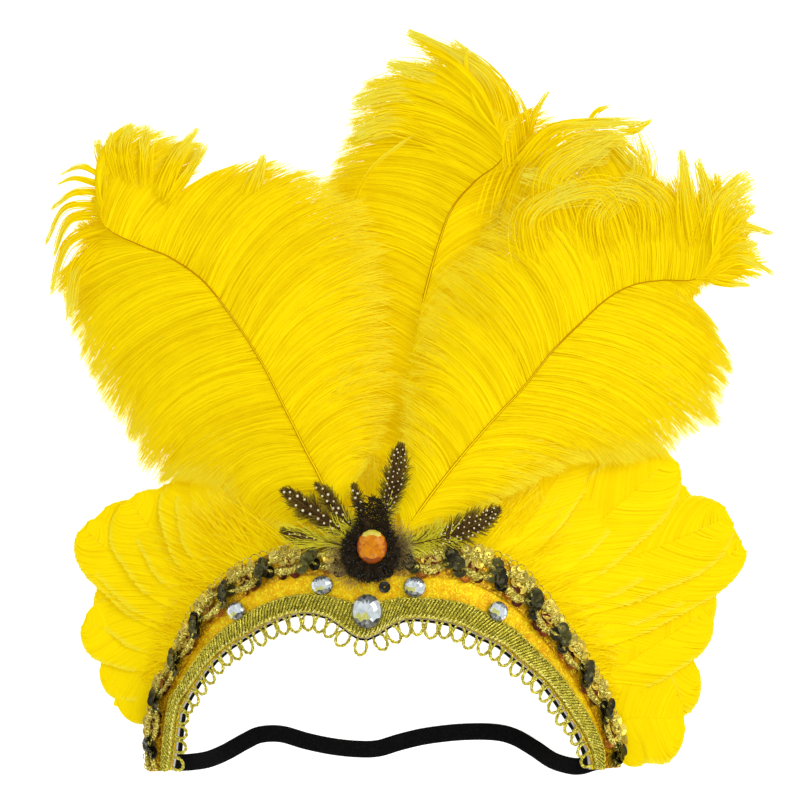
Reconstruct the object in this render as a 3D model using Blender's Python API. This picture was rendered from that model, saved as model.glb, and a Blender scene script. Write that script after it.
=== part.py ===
"""A carnival feather headpiece that lies on its back on a table.

The frame: +X runs to the right across the band, +Y runs up the plumes, as
the wearer's head would point, and +Z rises from the table through the band's
front. The band is an arch cut from flat stock and bent round the forehead,
so that it stands highest in the middle and its two ends meet the table.
Tables and sizes below are in millimetres. SCALE turns them into metres.
"""

import math

import bmesh
import bpy
from mathutils import Vector

SCALE = 0.001
SHARP_ANGLE = math.radians(35)

# The bent band: its crown above the table, and the half span where it meets it
CROWN = 58.0
HALF_SPAN = 118.0
MIDDLE_X = -13.0
BEND_POWER = 2.4
END_REST = -1.35

# The point over the forehead that the lower edge makes
PEAK_X = -23.0
PEAK_DEPTH = 12.5
PEAK_SPREAD = 9.8
PEAK_FADES_AT = 0.45

# Cross-sections of the flat arch, from the left end to the right end
# Columns: lower_x, lower_y, upper_x, upper_y
BAND_SECTIONS = (
    (-118.0, -184.5, -127.0, -185.5),
    (-116.5, -176.5, -129.3, -176.0),
    (-113.3, -153.5, -125.5, -147.5),
    (-107.0, -142.5, -119.5, -134.0),
    (-98.0, -130.0, -111.5, -118.0),
    (-90.0, -122.5, -105.0, -105.0),
    (-81.0, -116.5, -95.5, -93.5),
    (-69.0, -109.5, -82.0, -83.0),
    (-55.5, -105.0, -61.5, -74.5),
    (-38.0, -104.5, -40.0, -72.8),
    (-21.0, -105.0, -21.0, -72.5),
    (2.5, -107.0, 5.0, -72.3),
    (22.0, -110.3, 27.5, -72.8),
    (33.5, -115.8, 48.5, -81.5),
    (45.0, -121.3, 61.5, -94.0),
    (52.5, -127.8, 70.5, -106.0),
    (66.0, -139.8, 83.5, -125.3),
    (77.0, -155.0, 94.0, -143.3),
    (84.0, -165.8, 99.5, -157.3),
    (88.5, -176.0, 103.5, -171.5),
    (89.5, -184.0, 102.0, -183.5),
)
BAND_END = len(BAND_SECTIONS) - 1
PEAK_ROWS = range(8, 12)
STEPS_AT_PEAK = 4
STATION_SPACING = 11.0
STATION_NUDGE = 0.05

# Layers of the band, as heights over the lining's face, back and front
GAP = 0.3
LINING = (-1.5, 0.0)
CORE = (GAP, 1.7)
COVER = (2.0, 3.0)
TAPE = (3.3, 4.4)
QUILL_LAYER = 0.9
STONE_SEAT = TAPE[1] + GAP

# Parts of the band's width, 0 at the lower edge and 1 at the upper edge
LINING_REACH = (-0.055, 0.97)
CORE_REACH = (-0.02, 0.48)
COVER_REACH = (0.0, 1.0)
BRAID_WIDTH = (0.28, 0.37)
TRIM_START = (0.57, 0.44)
TRIM_OVERHANG = 1.035

# The wire loops under the braid: half width and length of a loop's centre line
LOOP_COUNT = 42
LOOP_HALF = 2.75
LOOP_LENGTH = 8.9
LOOP_WIRE = 1.1
LOOP_STEPS = 5
LOOP_SQUARENESS = 0.8
LOOP_CELLS = (0.35, BAND_END - 0.35)

# Clusters of sequins that stand on the trim, in two rows
CLUSTERS = 28
CLUSTER_HALF = (0.43, 0.41)
CLUSTER_TOP = 5.6
CLUSTER_SIDES = 6
TRIM_MIDDLE = 0.85
LENGTH_SAMPLES = 400

# The rosette and the amber stone on it
ROSETTE_X, ROSETTE_Y = -19.5, -75.0
ROSETTE_HALF = (15.5, 13.5)
ROSETTE_PEAK = 15.5
ROSETTE_PEAK_TURN = math.radians(84)
ROSETTE_PEAK_SPREAD = 0.36
ROSETTE_BASE = 6.9
ROSETTE_RISE = 4.2
ROSETTE_FOLDS = 18
ROSETTE_FOLD_DEPTH = 0.7
AMBER_X, AMBER_Y = -18.7, -72.0
# Rings of the rosette: part of its half width, part of its rise, and 1 where it is the seat
ROSETTE_RINGS = ((0.9, 0.0, 0.0), (1.0, 0.4, 0.0), (0.86, 0.9, 0.0), (0.6, 1.0, 1.0))

# Flat-backed stones: place, half width and height, rise, sides and seat
# Columns: name, x, y, half_x, half_y, rise, sides, seat
STONES = (
    ("gem_center", -21.2, -104.3, 7.8, 8.8, 5.0, 16, STONE_SEAT),
    ("gem_mid_left", -42.8, -91.3, 5.7, 4.8, 3.4, 12, STONE_SEAT),
    ("gem_mid_right", 1.9, -92.2, 5.7, 5.2, 3.4, 12, STONE_SEAT),
    ("gem_side_left", -84.1, -104.4, 5.2, 4.6, 3.2, 12, STONE_SEAT),
    ("gem_side_right", 41.9, -104.4, 5.3, 5.1, 3.2, 12, STONE_SEAT),
)
# Rings of a stone, as parts of its half width and of its rise: base, girdle, crown and table
STONE_RINGS = ((0.94, 0.0), (1.0, 0.2), (0.82, 0.72), (0.46, 1.0))
AMBER_STONE = (
    "amber_stone",
    AMBER_X,
    AMBER_Y,
    7.5,
    8.5,
    5.6,
    16,
    ROSETTE_BASE + ROSETTE_RISE + GAP,
)

# Ostrich plumes. Each row is a place on the quill and the tips of the barbs
# that leave it to the left and to the right, as seen from the front.
# Columns: x, y, z, left_x, left_y, left_z, right_x, right_y, right_z
LEFT_PLUME = (
    (-35, -62, 58, -62, -64, 50, -30, -45, 56),
    (-44, -39.5, 54, -83, -58, 34, -16, -22, 46),
    (-52.5, -23, 48, -96, -39, 25, -10, -2, 38),
    (-63.5, -1, 41, -121, -33, 14, -9, 28, 30),
    (-74, 19.5, 35, -138, -24, 5, -11, 60, 24),
    (-87, 39.5, 30, -152, -3, 1.4, -22, 95, 20),
    (-103, 60, 27, -165, 25, 0.8, -42, 118, 15),
    (-120, 72, 26, -172, 47, 0.8, -73, 123, 11),
    (-130, 76, 26, -180, 57, 0.8, -87, 118, 12),
    (-137, 79, 27, -183, 76, 1.8, -107, 108, 16),
    (-145, 82.5, 29, -180, 95, 6, -102, 127, 20),
    (-151, 86.5, 32, -176, 111, 12, -119, 134, 24),
    (-154, 92.5, 35, -166, 120, 20, -139, 138, 28),
    (-153, 99, 37, -159, 129, 27, -150, 133, 29),
)
CENTER_PLUME = (
    (-9, -54, 50, -20, -46, 47, 0, -44, 47),
    (-7, -40, 43, -27, -30, 36, 12, -26, 36),
    (-4, -14.5, 31, -37.5, -9.5, 22, 27.5, 10.5, 22),
    (-0.5, 14.5, 22, -47.5, 20.5, 12, 37.5, 40.5, 12),
    (4, 38, 17, -52.5, 50.5, 6, 45, 63, 6),
    (8.5, 58, 13.5, -51, 69.5, 2.3, 51, 80.5, 2.6),
    (14, 78, 12.5, -49, 88, 1.8, 56, 94.5, 2.4),
    (21, 96.5, 13.5, -44, 105.5, 1.8, 62.5, 108, 2.6),
    (32.5, 110, 17, -37.5, 116.5, 5, 69, 120.5, 6),
    (42.5, 117.5, 23, -30, 134.5, 9, 69.5, 153, 12),
    (46.5, 123, 28, -27, 151.5, 13, 55, 155.5, 18),
    (46, 130, 32, -12, 168.5, 17, 41, 165.5, 22),
    (43.5, 135.5, 34, -2, 185, 22, 29.5, 177.5, 24),
)
RIGHT_PLUME = (
    (-4, -67, 58.4, -7.5, -53.5, 57, 20, -59.5, 54),
    (10, -47, 54, -6, -30.5, 50, 45, -49.5, 47),
    (25.5, -27.5, 48, -4, -2, 42, 75, -34.5, 34),
    (42, -8.5, 42, 1, 28, 32, 101, -25.5, 21),
    (56.5, 7, 37, 12.5, 55.5, 26, 121, -23.5, 15),
    (70.5, 24.5, 33, 30, 78, 22, 140, -12, 10),
    (85, 39, 30, 47.5, 95.5, 21, 154, -0.5, 2.5),
    (98, 51, 28, 62.5, 111.5, 20, 162.5, 16.5, 0.8),
    (111, 58, 28, 77.5, 125.5, 18, 158.5, 31.5, 0.8),
    (126, 60.5, 29, 95, 140.5, 14, 152, 44.5, 2.5),
    (140, 60.5, 32, 120, 140.5, 14, 181, 64, 10),
    (146.5, 64.5, 35, 137, 126, 18, 181.5, 84, 16),
    (150, 71.5, 37, 146, 115.5, 24, 171, 110.5, 24),
    (151, 75.5, 38, 152, 114.5, 27, 162.5, 113.5, 27),
)
# Name, rows, the place along the band where the quill goes in, and the locks on each side
PLUMES = (
    ("plume_left", LEFT_PLUME, 9.4, 17),
    ("plume_center", CENTER_PLUME, 10.42, 15),
    ("plume_right", RIGHT_PLUME, 10.75, 17),
)
QUILL_HALF = 1.1
QUILL_THICK = 1.2
QUILL_SEAT = (0.55, 0.8, 1.01)
PLUME_THICK = 3.6
PLUME_EDGE_THICK = 1.1
PLUME_TAPER = 0.8
SLAB_REACH = (0.0, 0.3, 0.62)
LOCK_REACH = (0.76, 0.9, 1.0)
LOCK_NARROWS = (0.16, 0.5, 0.9)
LOCK_LIFT = 0.6
BARB_BOW = 0.12
BARB_DROOP = 1.6

# Flat side feathers: where each leaves the band, its tip, its width, the
# height of its tip, and how far its edges curl down
# Columns: name, station, tip_x, tip_y, width, tip_z, curl
SIDE_FEATHERS = (
    ("side_feather_left_1", 6.3, -112.0, -35.8, 30.0, 8.2, 1.5),
    ("side_feather_left_2", 5.35, -141.0, -49.0, 34.0, 6.4, 1.2),
    ("side_feather_left_3", 4.4, -165.0, -67.5, 34.0, 4.6, 1.0),
    ("side_feather_left_4", 3.35, -166.0, -109.5, 31.0, 2.7, 0.6),
    ("side_feather_left_5", 2.2, -150.5, -153.0, 27.0, 0.7, 0.0),
    ("side_feather_right_1", 12.95, 90.0, -14.5, 24.0, 9.0, 1.0),
    ("side_feather_right_2", 14.15, 131.0, -25.5, 36.0, 8.6, 1.5),
    ("side_feather_right_3", 15.0, 161.0, -56.0, 36.0, 6.4, 1.2),
    ("side_feather_right_4", 15.9, 168.5, -75.5, 32.0, 4.9, 1.0),
    ("side_feather_right_5", 16.9, 153.5, -106.5, 34.0, 3.4, 0.6),
    ("side_feather_right_6", 18.3, 137.5, -163.0, 37.0, 1.9, 0.0),
)
SIDE_THICK = 1.2
SIDE_EDGE_THICK = 0.8
# Half width along a side feather, from the band's edge to the tip, as parts of its full half width
VANE_OUTLINE = ((0.0, 0.2), (0.1, 0.45), (0.28, 0.78), (0.52, 0.98), (0.74, 1.0), (0.9, 0.76), (1.0, 0.3))
VANE_ACROSS = (-1.0, -0.5, 0.0, 0.5, 1.0)
VANE_SWEEP = 0.16
ROOT_HALF = 2.6
# Parts of the band's width where a root starts and where it leaves the band
ROOT_SEAT = (0.62, 0.82)
EDGE_PART = 1.01
STEEPEST_FALL = 3.0
LEVEL_FROM = 0.5
PATH_NUDGE = 0.02

# Spotted guinea feathers round the rosette: tip, width and the height of the tip
# Columns: name, tip_x, tip_y, width, tip_z
GUINEA_FEATHERS = (
    ("guinea_feather_1", -63.5, -43.8, 10.5, 57.5),
    ("guinea_feather_2", -46.5, -41.0, 7.5, 60.0),
    ("guinea_feather_3", -28.0, -41.5, 5.0, 61.0),
    ("guinea_feather_4", -63.5, -64.3, 6.5, 59.5),
    ("guinea_feather_5", -4.3, -21.5, 14.0, 58.0),
    ("guinea_feather_6", 44.5, -53.8, 15.0, 58.0),
)
GUINEA_ROOT = 10.2
GUINEA_SEAT = 6.25
GUINEA_THICK = 0.7
GUINEA_OUTLINE = ((0.0, 0.14), (0.25, 0.4), (0.5, 0.8), (0.75, 1.0), (0.92, 0.7), (1.0, 0.25))

# The elastic strap, a flat ribbon laid in waves behind the band
STRAP_WIDTH = 8.5
STRAP_THICK = 1.0
# Columns: x, y, z
STRAP_ROUTE = (
    (-124.0, -180.6, 2.6),
    (-119.0, -180.6, 7.6),
    (-114.5, -180.7, 12.6),
    (-109.0, -180.4, 13.0),
    (-101.0, -179.2, 9.0),
    (-92.5, -175.9, 3.2),
    (-82.5, -170.4, 0.7),
    (-75.0, -167.1, 0.5),
    (-64.5, -166.8, 0.5),
    (-52.0, -170.3, 0.5),
    (-39.0, -173.0, 0.5),
    (-26.5, -174.3, 0.5),
    (-16.0, -174.0, 0.5),
    (-5.0, -170.8, 0.5),
    (8.0, -167.8, 0.5),
    (25.5, -165.8, 0.5),
    (42.0, -165.8, 0.5),
    (52.5, -168.3, 0.6),
    (62.5, -174.0, 2.6),
    (71.5, -179.8, 8.4),
    (80.5, -182.4, 13.2),
    (86.0, -182.4, 13.4),
    (91.0, -181.0, 9.2),
    (96.0, -180.0, 3.9),
)
STRAP_STEPS = 2

# Colours, roughness and metallic value of each finish
FINISHES = {
    "yellow_plume": ((0.95, 0.72, 0.0), 0.75, 0.0),
    "yellow_vane": ((0.95, 0.75, 0.02), 0.6, 0.0),
    "guinea": ((0.06, 0.035, 0.02), 0.7, 0.0),
    "felt": ((0.012, 0.012, 0.014), 0.95, 0.0),
    "stiffener": ((0.75, 0.72, 0.65), 0.9, 0.0),
    "brocade": ((0.85, 0.42, 0.03), 0.45, 0.6),
    "gold_braid": ((0.62, 0.55, 0.1), 0.35, 0.9),
    "sequins": ((0.3, 0.24, 0.08), 0.2, 0.7),
    "clear_stone": ((0.8, 0.84, 0.88), 0.05, 0.0),
    "amber": ((0.9, 0.25, 0.01), 0.08, 0.0),
    "rosette": ((0.03, 0.02, 0.015), 0.6, 0.0),
    "elastic": ((0.01, 0.01, 0.012), 0.85, 0.0),
}


def clear_scene():
    for obj in list(bpy.data.objects):
        bpy.data.objects.remove(obj, do_unlink=True)


def make_finish(name):
    colour, roughness, metallic = FINISHES[name]
    made = bpy.data.materials.new(name)
    made.use_nodes = True
    shader = made.node_tree.nodes["Principled BSDF"]
    shader.inputs["Base Color"].default_value = (*colour, 1.0)
    shader.inputs["Roughness"].default_value = roughness
    shader.inputs["Metallic"].default_value = metallic
    return made


def add_piece(name, points, faces, finish, headpiece):
    """One named mesh object, with its origin at the middle of its own box."""
    low = Vector(min(p[i] for p in points) for i in range(3))
    high = Vector(max(p[i] for p in points) for i in range(3))
    middle = (low + high) / 2
    mesh = bpy.data.meshes.new(name)
    mesh.from_pydata([(Vector(p) - middle) * SCALE for p in points], [], faces)
    solid = bmesh.new()
    solid.from_mesh(mesh)
    bmesh.ops.recalc_face_normals(solid, faces=solid.faces)
    solid.to_mesh(mesh)
    solid.free()
    mesh.shade_smooth()
    mesh.set_sharp_from_angle(angle=SHARP_ANGLE)
    mesh.materials.append(finish)
    obj = bpy.data.objects.new(name, mesh)
    obj.location = middle * SCALE
    obj.parent = headpiece
    bpy.context.scene.collection.objects.link(obj)
    return obj


def spline(rows, t):
    """A smooth curve through the rows, t counted in rows."""
    last = len(rows) - 1
    t = min(max(t, 0.0), float(last))
    i = min(int(t), last - 1)
    u = t - i
    ahead, behind = min(i + 2, last), max(i - 1, 0)
    out = []
    for a, b, c, d in zip(rows[behind], rows[i], rows[i + 1], rows[ahead]):
        out.append(
            0.5
            * (
                2 * b
                + (c - a) * u
                + (2 * a - 5 * b + 4 * c - d) * u * u
                + (3 * b - a - 3 * c + d) * u ** 3
            )
        )
    return out


def mix(a, b, part):
    return a + (b - a) * part


def spread(start, end, count):
    return [mix(start, end, i / (count - 1)) for i in range(count)]


def band_height(x):
    """Height of the lining's face over the table."""
    reach = min(abs(x - MIDDLE_X) / HALF_SPAN, 1.0)
    return END_REST + CROWN * (1 - reach ** BEND_POWER)


def band_normal(x):
    """The way the band's face looks, which has no part along Y."""
    reach = min(abs(x - MIDDLE_X) / HALF_SPAN, 1.0)
    slope = CROWN * BEND_POWER / HALF_SPAN * reach ** (BEND_POWER - 1)
    sign = 1 if x > MIDDLE_X else -1
    return Vector((sign * slope, 0, 1)).normalized()


def band_point(station, part, height):
    """A point of the band: station along it, part of its width, height over the lining's face."""
    low_x, low_y, up_x, up_y = spline(BAND_SECTIONS, station)
    x = mix(low_x, up_x, part)
    y = mix(low_y, up_y, part)
    fade = min(max(1 - part / PEAK_FADES_AT, 0.0), 1.0)
    y -= PEAK_DEPTH * fade * math.exp(-((x - PEAK_X) / PEAK_SPREAD) ** 2 / 2)
    return Vector((x, y, band_height(x))) + band_normal(x) * height


def band_toward_edge(station):
    """The way across the band, from its lower to its upper edge."""
    low_x, low_y, up_x, up_y = spline(BAND_SECTIONS, station)
    return Vector((up_x - low_x, up_y - low_y, 0)).normalized()


def band_stations():
    found = []
    for row in range(BAND_END):
        here, there = BAND_SECTIONS[row], BAND_SECTIONS[row + 1]
        run = max(math.dist(here[:2], there[:2]), math.dist(here[2:], there[2:]))
        steps = STEPS_AT_PEAK if row in PEAK_ROWS else max(1, round(run / STATION_SPACING))
        found += [row + i / steps for i in range(steps)]
    return found + [BAND_END]


def toward_ends(station):
    """0 in the middle of the band and 1 at its ends."""
    return abs(2 * station / BAND_END - 1) ** 2


def skin(front, back):
    """Points and faces of a closed sheet between two grids of the same size."""
    rows, columns = len(front), len(front[0])
    points = [p for row in front for p in row] + [p for row in back for p in row]
    shift = rows * columns
    faces = []
    for i in range(rows - 1):
        for j in range(columns - 1):
            a, b = i * columns + j, (i + 1) * columns + j
            faces.append((a, b, b + 1, a + 1))
            faces.append((a + shift, a + 1 + shift, b + 1 + shift, b + shift))
    rim = [(i * columns, (i + 1) * columns) for i in range(rows - 1)]
    rim += [((rows - 1) * columns + j, (rows - 1) * columns + j + 1) for j in range(columns - 1)]
    rim += [((i + 1) * columns - 1 + columns, (i + 1) * columns - 1) for i in reversed(range(rows - 1))]
    rim += [(j + 1, j) for j in reversed(range(columns - 1))]
    faces += [(a, a + shift, b + shift, b) for a, b in rim]
    return points, faces


def band_layer(name, reach, across, heights, finish, headpiece):
    """A sheet of the band. reach gives the low and high part of its width at a station."""
    back, front = [], []
    for station in band_stations():
        low, high = reach(station)
        parts = spread(low, high, across + 1)
        back.append([band_point(station, part, heights[0]) for part in parts])
        front.append([band_point(station, part, heights[1]) for part in parts])
    points, faces = skin(front, back)
    return add_piece(name, points, faces, finish, headpiece)


def braid_reach(station):
    return COVER_REACH[0], mix(*BRAID_WIDTH, toward_ends(station))


def trim_reach(station):
    return mix(*TRIM_START, toward_ends(station)), TRIM_OVERHANG


def evenly_along(part, start, end, count):
    """Stations that divide one line along the band into equal lengths."""
    stations = spread(start, end, LENGTH_SAMPLES)
    run = [0.0]
    for a, b in zip(stations, stations[1:]):
        run.append(run[-1] + (band_point(b, part, TAPE[1]) - band_point(a, part, TAPE[1])).length)
    found = []
    at = 0
    for i in range(count):
        goal = run[-1] * i / (count - 1)
        while at < LENGTH_SAMPLES - 2 and run[at + 1] < goal:
            at += 1
        span = run[at + 1] - run[at]
        found.append(mix(stations[at], stations[at + 1], (goal - run[at]) / span))
    return found, run[-1]


def loop_line(root, along, out):
    """Centre line of one loop, as places and the ways across the wire, from its left to its right root."""
    line = []
    for i in range(1, LOOP_STEPS):
        turn = math.pi * i / LOOP_STEPS
        side, reach = -LOOP_HALF * math.cos(turn), LOOP_LENGTH * math.sin(turn) ** LOOP_SQUARENESS
        way = (along * math.cos(turn) * -LOOP_LENGTH + out * math.sin(turn) * LOOP_HALF).normalized()
        line.append((root + along * side + out * reach, way))
    return line


def loop_braid(finish, headpiece):
    """The braid's tape, with one wire loop drawn out of each cell of its lower edge."""
    stations, length = evenly_along(0.0, *LOOP_CELLS, LOOP_COUNT + 1)
    cell = length / LOOP_COUNT
    legs = [(side * LOOP_HALF + edge * LOOP_WIRE / 2) / cell for side in (-1, 1) for edge in (-1, 1)]
    points, faces = [], []

    def pair(station, part):
        """The front and the back point there, as one pair of point numbers."""
        points.append(band_point(station, part, TAPE[1]))
        points.append(band_point(station, part, TAPE[0]))
        return len(points) - 2, len(points) - 1

    def upper(station):
        return pair(station, braid_reach(station)[1])

    low, high = pair(0.0, 0.0), upper(0.0)
    faces.append((low[0], high[0], high[1], low[1]))
    for start, end in [(0.0, stations[0])] + list(zip(stations, stations[1:])) + [(stations[-1], BAND_END)]:
        is_cell = start in stations and end in stations
        marks = [mix(start, end, 0.5 + leg) for leg in legs] if is_cell else []
        lows = [low] + [pair(mark, 0.0) for mark in marks] + [pair(end, 0.0)]
        next_high = upper(end)
        split = len(lows) // 2
        for face in (0, 1):
            faces.append((lows[split][face], next_high[face], high[face]))
            for i, (here, there) in enumerate(zip(lows, lows[1:])):
                apex = high if i < split else next_high
                faces.append((here[face], there[face], apex[face]))
        faces.append((high[0], next_high[0], next_high[1], high[1]))
        for i, (here, there) in enumerate(zip(lows, lows[1:])):
            if i not in (1, 3):
                faces.append((here[0], here[1], there[1], there[0]))
        if is_cell:
            middle = (start + end) / 2
            root = band_point(middle, 0.0, sum(TAPE) / 2)
            toward = band_normal(root.x)
            along = band_point(end, 0.0, TAPE[0]) - band_point(start, 0.0, TAPE[0])
            along = (along - toward * along.dot(toward)).normalized()
            out = along.cross(toward)
            ring = (*lows[2], *reversed(lows[1]))
            for place, way in loop_line(root, along, out):
                new = tuple(range(len(points), len(points) + 4))
                half, thick = way * LOOP_WIRE / 2, toward * (TAPE[1] - TAPE[0]) / 2
                points += [place - half + thick, place - half - thick]
                points += [place + half - thick, place + half + thick]
                faces += [(ring[k], ring[(k + 1) % 4], new[(k + 1) % 4], new[k]) for k in range(4)]
                ring = new
            last = (*lows[3], *reversed(lows[4]))
            faces += [(ring[k], ring[(k + 1) % 4], last[(k + 1) % 4], last[k]) for k in range(4)]
        low, high = lows[-1], next_high
    faces.append((low[0], low[1], high[1], high[0]))
    add_piece("loop_braid", points, faces, finish, headpiece)


def sequin_trim(finish, headpiece):
    """A tape along the upper edge whose cells each carry a raised cluster of sequins."""
    stations, _ = evenly_along(TRIM_MIDDLE, 0.0, BAND_END, CLUSTERS + 1)
    front, back = [], []
    for station in stations:
        parts = spread(*trim_reach(station), 3)
        front.append([band_point(station, part, TAPE[1]) for part in parts])
        back.append([band_point(station, part, TAPE[0]) for part in parts])
    points, faces = skin(front, back)
    for i, (start, end) in enumerate(zip(stations, stations[1:])):
        for j in range(2):
            corners = (3 * i + j, 3 * (i + 1) + j, 3 * (i + 1) + j + 1, 3 * i + j + 1)
            faces = [face for face in faces if set(face) != set(corners)]
            rings = []
            for height in (TAPE[1], CLUSTER_TOP):
                rings.append(range(len(points), len(points) + CLUSTER_SIDES))
                for k in range(CLUSTER_SIDES):
                    turn = 2 * math.pi * k / CLUSTER_SIDES
                    station = mix(start, end, 0.5 + CLUSTER_HALF[0] * math.cos(turn))
                    across = (j + 0.5 + CLUSTER_HALF[1] * math.sin(turn)) / 2
                    points.append(band_point(station, mix(*trim_reach(station), across), height))
            base, top = rings
            a, b, c, d = corners
            faces += [(a, b, base[5], base[4]), (b, base[0], base[5]), (b, c, base[0]), (c, base[1], base[0])]
            faces += [(c, d, base[2], base[1]), (d, base[3], base[2]), (d, a, base[3]), (a, base[4], base[3])]
            for k in range(CLUSTER_SIDES):
                following = (k + 1) % CLUSTER_SIDES
                faces.append((base[k], base[following], top[following], top[k]))
            faces.append(tuple(top))
    add_piece("sequin_trim", points, faces, finish, headpiece)


def cut_stone(row, finish, headpiece):
    """A flat-backed oval stone with a girdle, two rings of facets and a table."""
    name, x, y, half_x, half_y, rise, sides, seat = row
    face = band_normal(x)
    middle = Vector((x, y, band_height(x)))
    right = Vector((0, 1, 0)).cross(face)
    up = Vector((0, 1, 0))
    points, faces = [], []
    for i, (width, height) in enumerate(STONE_RINGS):
        for k in range(sides):
            turn = 2 * math.pi * (k + 0.5 * (i % 2)) / sides
            reach = right * math.cos(turn) * half_x * width + up * math.sin(turn) * half_y * width
            points.append(middle + reach + face * (seat + rise * height))
    faces.append(tuple(reversed(range(sides))))
    faces.append(tuple(range(3 * sides, 4 * sides)))
    for i in range(3):
        for k in range(sides):
            a, b = i * sides + k, i * sides + (k + 1) % sides
            c, d = a + sides, b + sides
            if i % 2:
                faces += [(a, b, d), (a, d, c)]
            else:
                faces += [(a, b, c), (b, d, c)]
    stone = add_piece(name, points, faces, finish, headpiece)
    stone.data.shade_flat()


def rosette(finish, headpiece):
    """A gathered disc with a soft peak towards the plumes and a flat seat for the stone."""
    face = band_normal(ROSETTE_X)
    base = Vector((ROSETTE_X, ROSETTE_Y, band_height(ROSETTE_X)))
    seat = Vector((AMBER_X, AMBER_Y, base.z))
    sides = 2 * ROSETTE_FOLDS
    points, faces = [], []
    for width, height, at_seat in ROSETTE_RINGS:
        for k in range(sides):
            turn = 2 * math.pi * k / sides
            fold = ROSETTE_FOLD_DEPTH * (1 if k % 2 else -1) * (1 - at_seat)
            off = math.atan2(math.sin(turn - ROSETTE_PEAK_TURN), math.cos(turn - ROSETTE_PEAK_TURN))
            peak = ROSETTE_PEAK * math.exp(-((off / ROSETTE_PEAK_SPREAD) ** 2)) * (1 - at_seat)
            reach_x = (ROSETTE_HALF[0] * width + peak + fold) * math.cos(turn)
            reach_y = (ROSETTE_HALF[1] * width + peak + fold) * math.sin(turn)
            middle = seat if at_seat else base
            lift = face * (ROSETTE_BASE + ROSETTE_RISE * height)
            points.append(middle + Vector((reach_x, reach_y, 0)) + lift)
    faces.append(tuple(reversed(range(sides))))
    faces.append(tuple(range(3 * sides, 4 * sides)))
    for i in range(3):
        for k in range(sides):
            a, b = i * sides + k, i * sides + (k + 1) % sides
            faces.append((a, b, b + sides, a + sides))
    add_piece("rosette", points, faces, finish, headpiece)


def barb_point(rows, t, side, reach):
    """A point on the barb that leaves the quill at t to one side, reach 0 at the quill and 1 at its tip."""
    row = spline(rows, t)
    root = Vector(row[0:3])
    tip = Vector(row[3:6] if side < 0 else row[6:9])
    chord = tip - root
    forward = Vector((chord.y, -chord.x, 0)) if side < 0 else Vector((-chord.y, chord.x, 0))
    place = root + chord * reach + forward * (4 * BARB_BOW * reach * (1 - reach))
    place.z = mix(root.z, tip.z, reach ** BARB_DROOP)
    return place


def plume_thickness(reach):
    return mix(PLUME_THICK, PLUME_EDGE_THICK, reach ** PLUME_TAPER)


def lifted(place, amount):
    return place + Vector((0, 0, amount))


def lock_sections(rows, t, step, side, number):
    """Cross-sections of one lock of barbs, from the slab's edge to its pointed end."""
    sections = []
    for reach, narrow in zip(LOCK_REACH, LOCK_NARROWS):
        middle = barb_point(rows, t + step / 2, side, reach)
        near = barb_point(rows, t, side, reach).lerp(middle, narrow)
        far = barb_point(rows, t + step, side, reach).lerp(middle, narrow)
        half = plume_thickness(reach) / 2
        lift = LOCK_LIFT * (1 if number % 2 else -1) * (reach - SLAB_REACH[-1])
        sections.append(
            (
                lifted(near, half + lift),
                lifted(far, half + lift),
                lifted(far, lift - half),
                lifted(near, lift - half),
            )
        )
    return sections


def quill_sections(station):
    """Centres and ways of the flat quill where it is held between the band's layers."""
    found = []
    for part in QUILL_SEAT:
        place = band_point(station, part, QUILL_LAYER)
        found.append((place, Vector((1, 0, 0)), band_normal(place.x)))
    return found


def plume(name, rows, station, locks, finish, headpiece):
    """A quill with a slab of barbs on each side that splits into pointed locks at its edge."""
    columns = [(-1, reach) for reach in reversed(SLAB_REACH[1:])] + [(1, reach) for reach in SLAB_REACH]
    widest = SLAB_REACH[-1]
    top, bottom = [], []
    for place, side_way, face in quill_sections(station):
        spots = [place + side_way * QUILL_HALF * side * reach / widest for side, reach in columns]
        top.append([spot + face * QUILL_THICK / 2 for spot in spots])
        bottom.append([spot - face * QUILL_THICK / 2 for spot in spots])
    stem = len(top)
    step = (len(rows) - 1) / locks
    for i in range(locks + 1):
        spots = [barb_point(rows, i * step, side, reach) for side, reach in columns]
        halves = [plume_thickness(reach) / 2 for _, reach in columns]
        top.append([lifted(spot, half) for spot, half in zip(spots, halves)])
        bottom.append([lifted(spot, -half) for spot, half in zip(spots, halves)])
    points, faces = skin(top, bottom)
    wide, shift = len(columns), len(top) * len(columns)
    for i in range(locks):
        for side, column in ((-1, 0), (1, wide - 1)):
            a = (stem + i) * wide + column
            b = a + wide
            ring = (a, b, b + shift, a + shift)
            faces = [face for face in faces if set(face) != set(ring)]
            for section in lock_sections(rows, i * step, step, side, i):
                new = tuple(range(len(points), len(points) + 4))
                points += section
                for k in range(4):
                    faces.append((ring[k], ring[(k + 1) % 4], new[(k + 1) % 4], new[k]))
                ring = new
            faces.append(ring)
    add_piece(name, points, faces, finish, headpiece)


def hermite(start, start_slope, end, end_slope, u):
    return (
        (2 * u ** 3 - 3 * u * u + 1) * start
        + (u ** 3 - 2 * u * u + u) * start_slope
        + (3 * u * u - 2 * u ** 3) * end
        + (u ** 3 - u * u) * end_slope
    )


def side_feather_path(edge, tip, out, fall, u):
    """The middle line of a side feather: it leaves the edge along the band and comes level at its tip."""
    length = math.dist(edge[:2], tip[:2])
    return Vector(
        (
            hermite(edge.x, out.x * length, tip.x, tip.x - edge.x, u),
            hermite(edge.y, out.y * length, tip.y, tip.y - edge.y, u),
            hermite(edge.z, fall, tip.z, 0.0, u),
        )
    )


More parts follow.
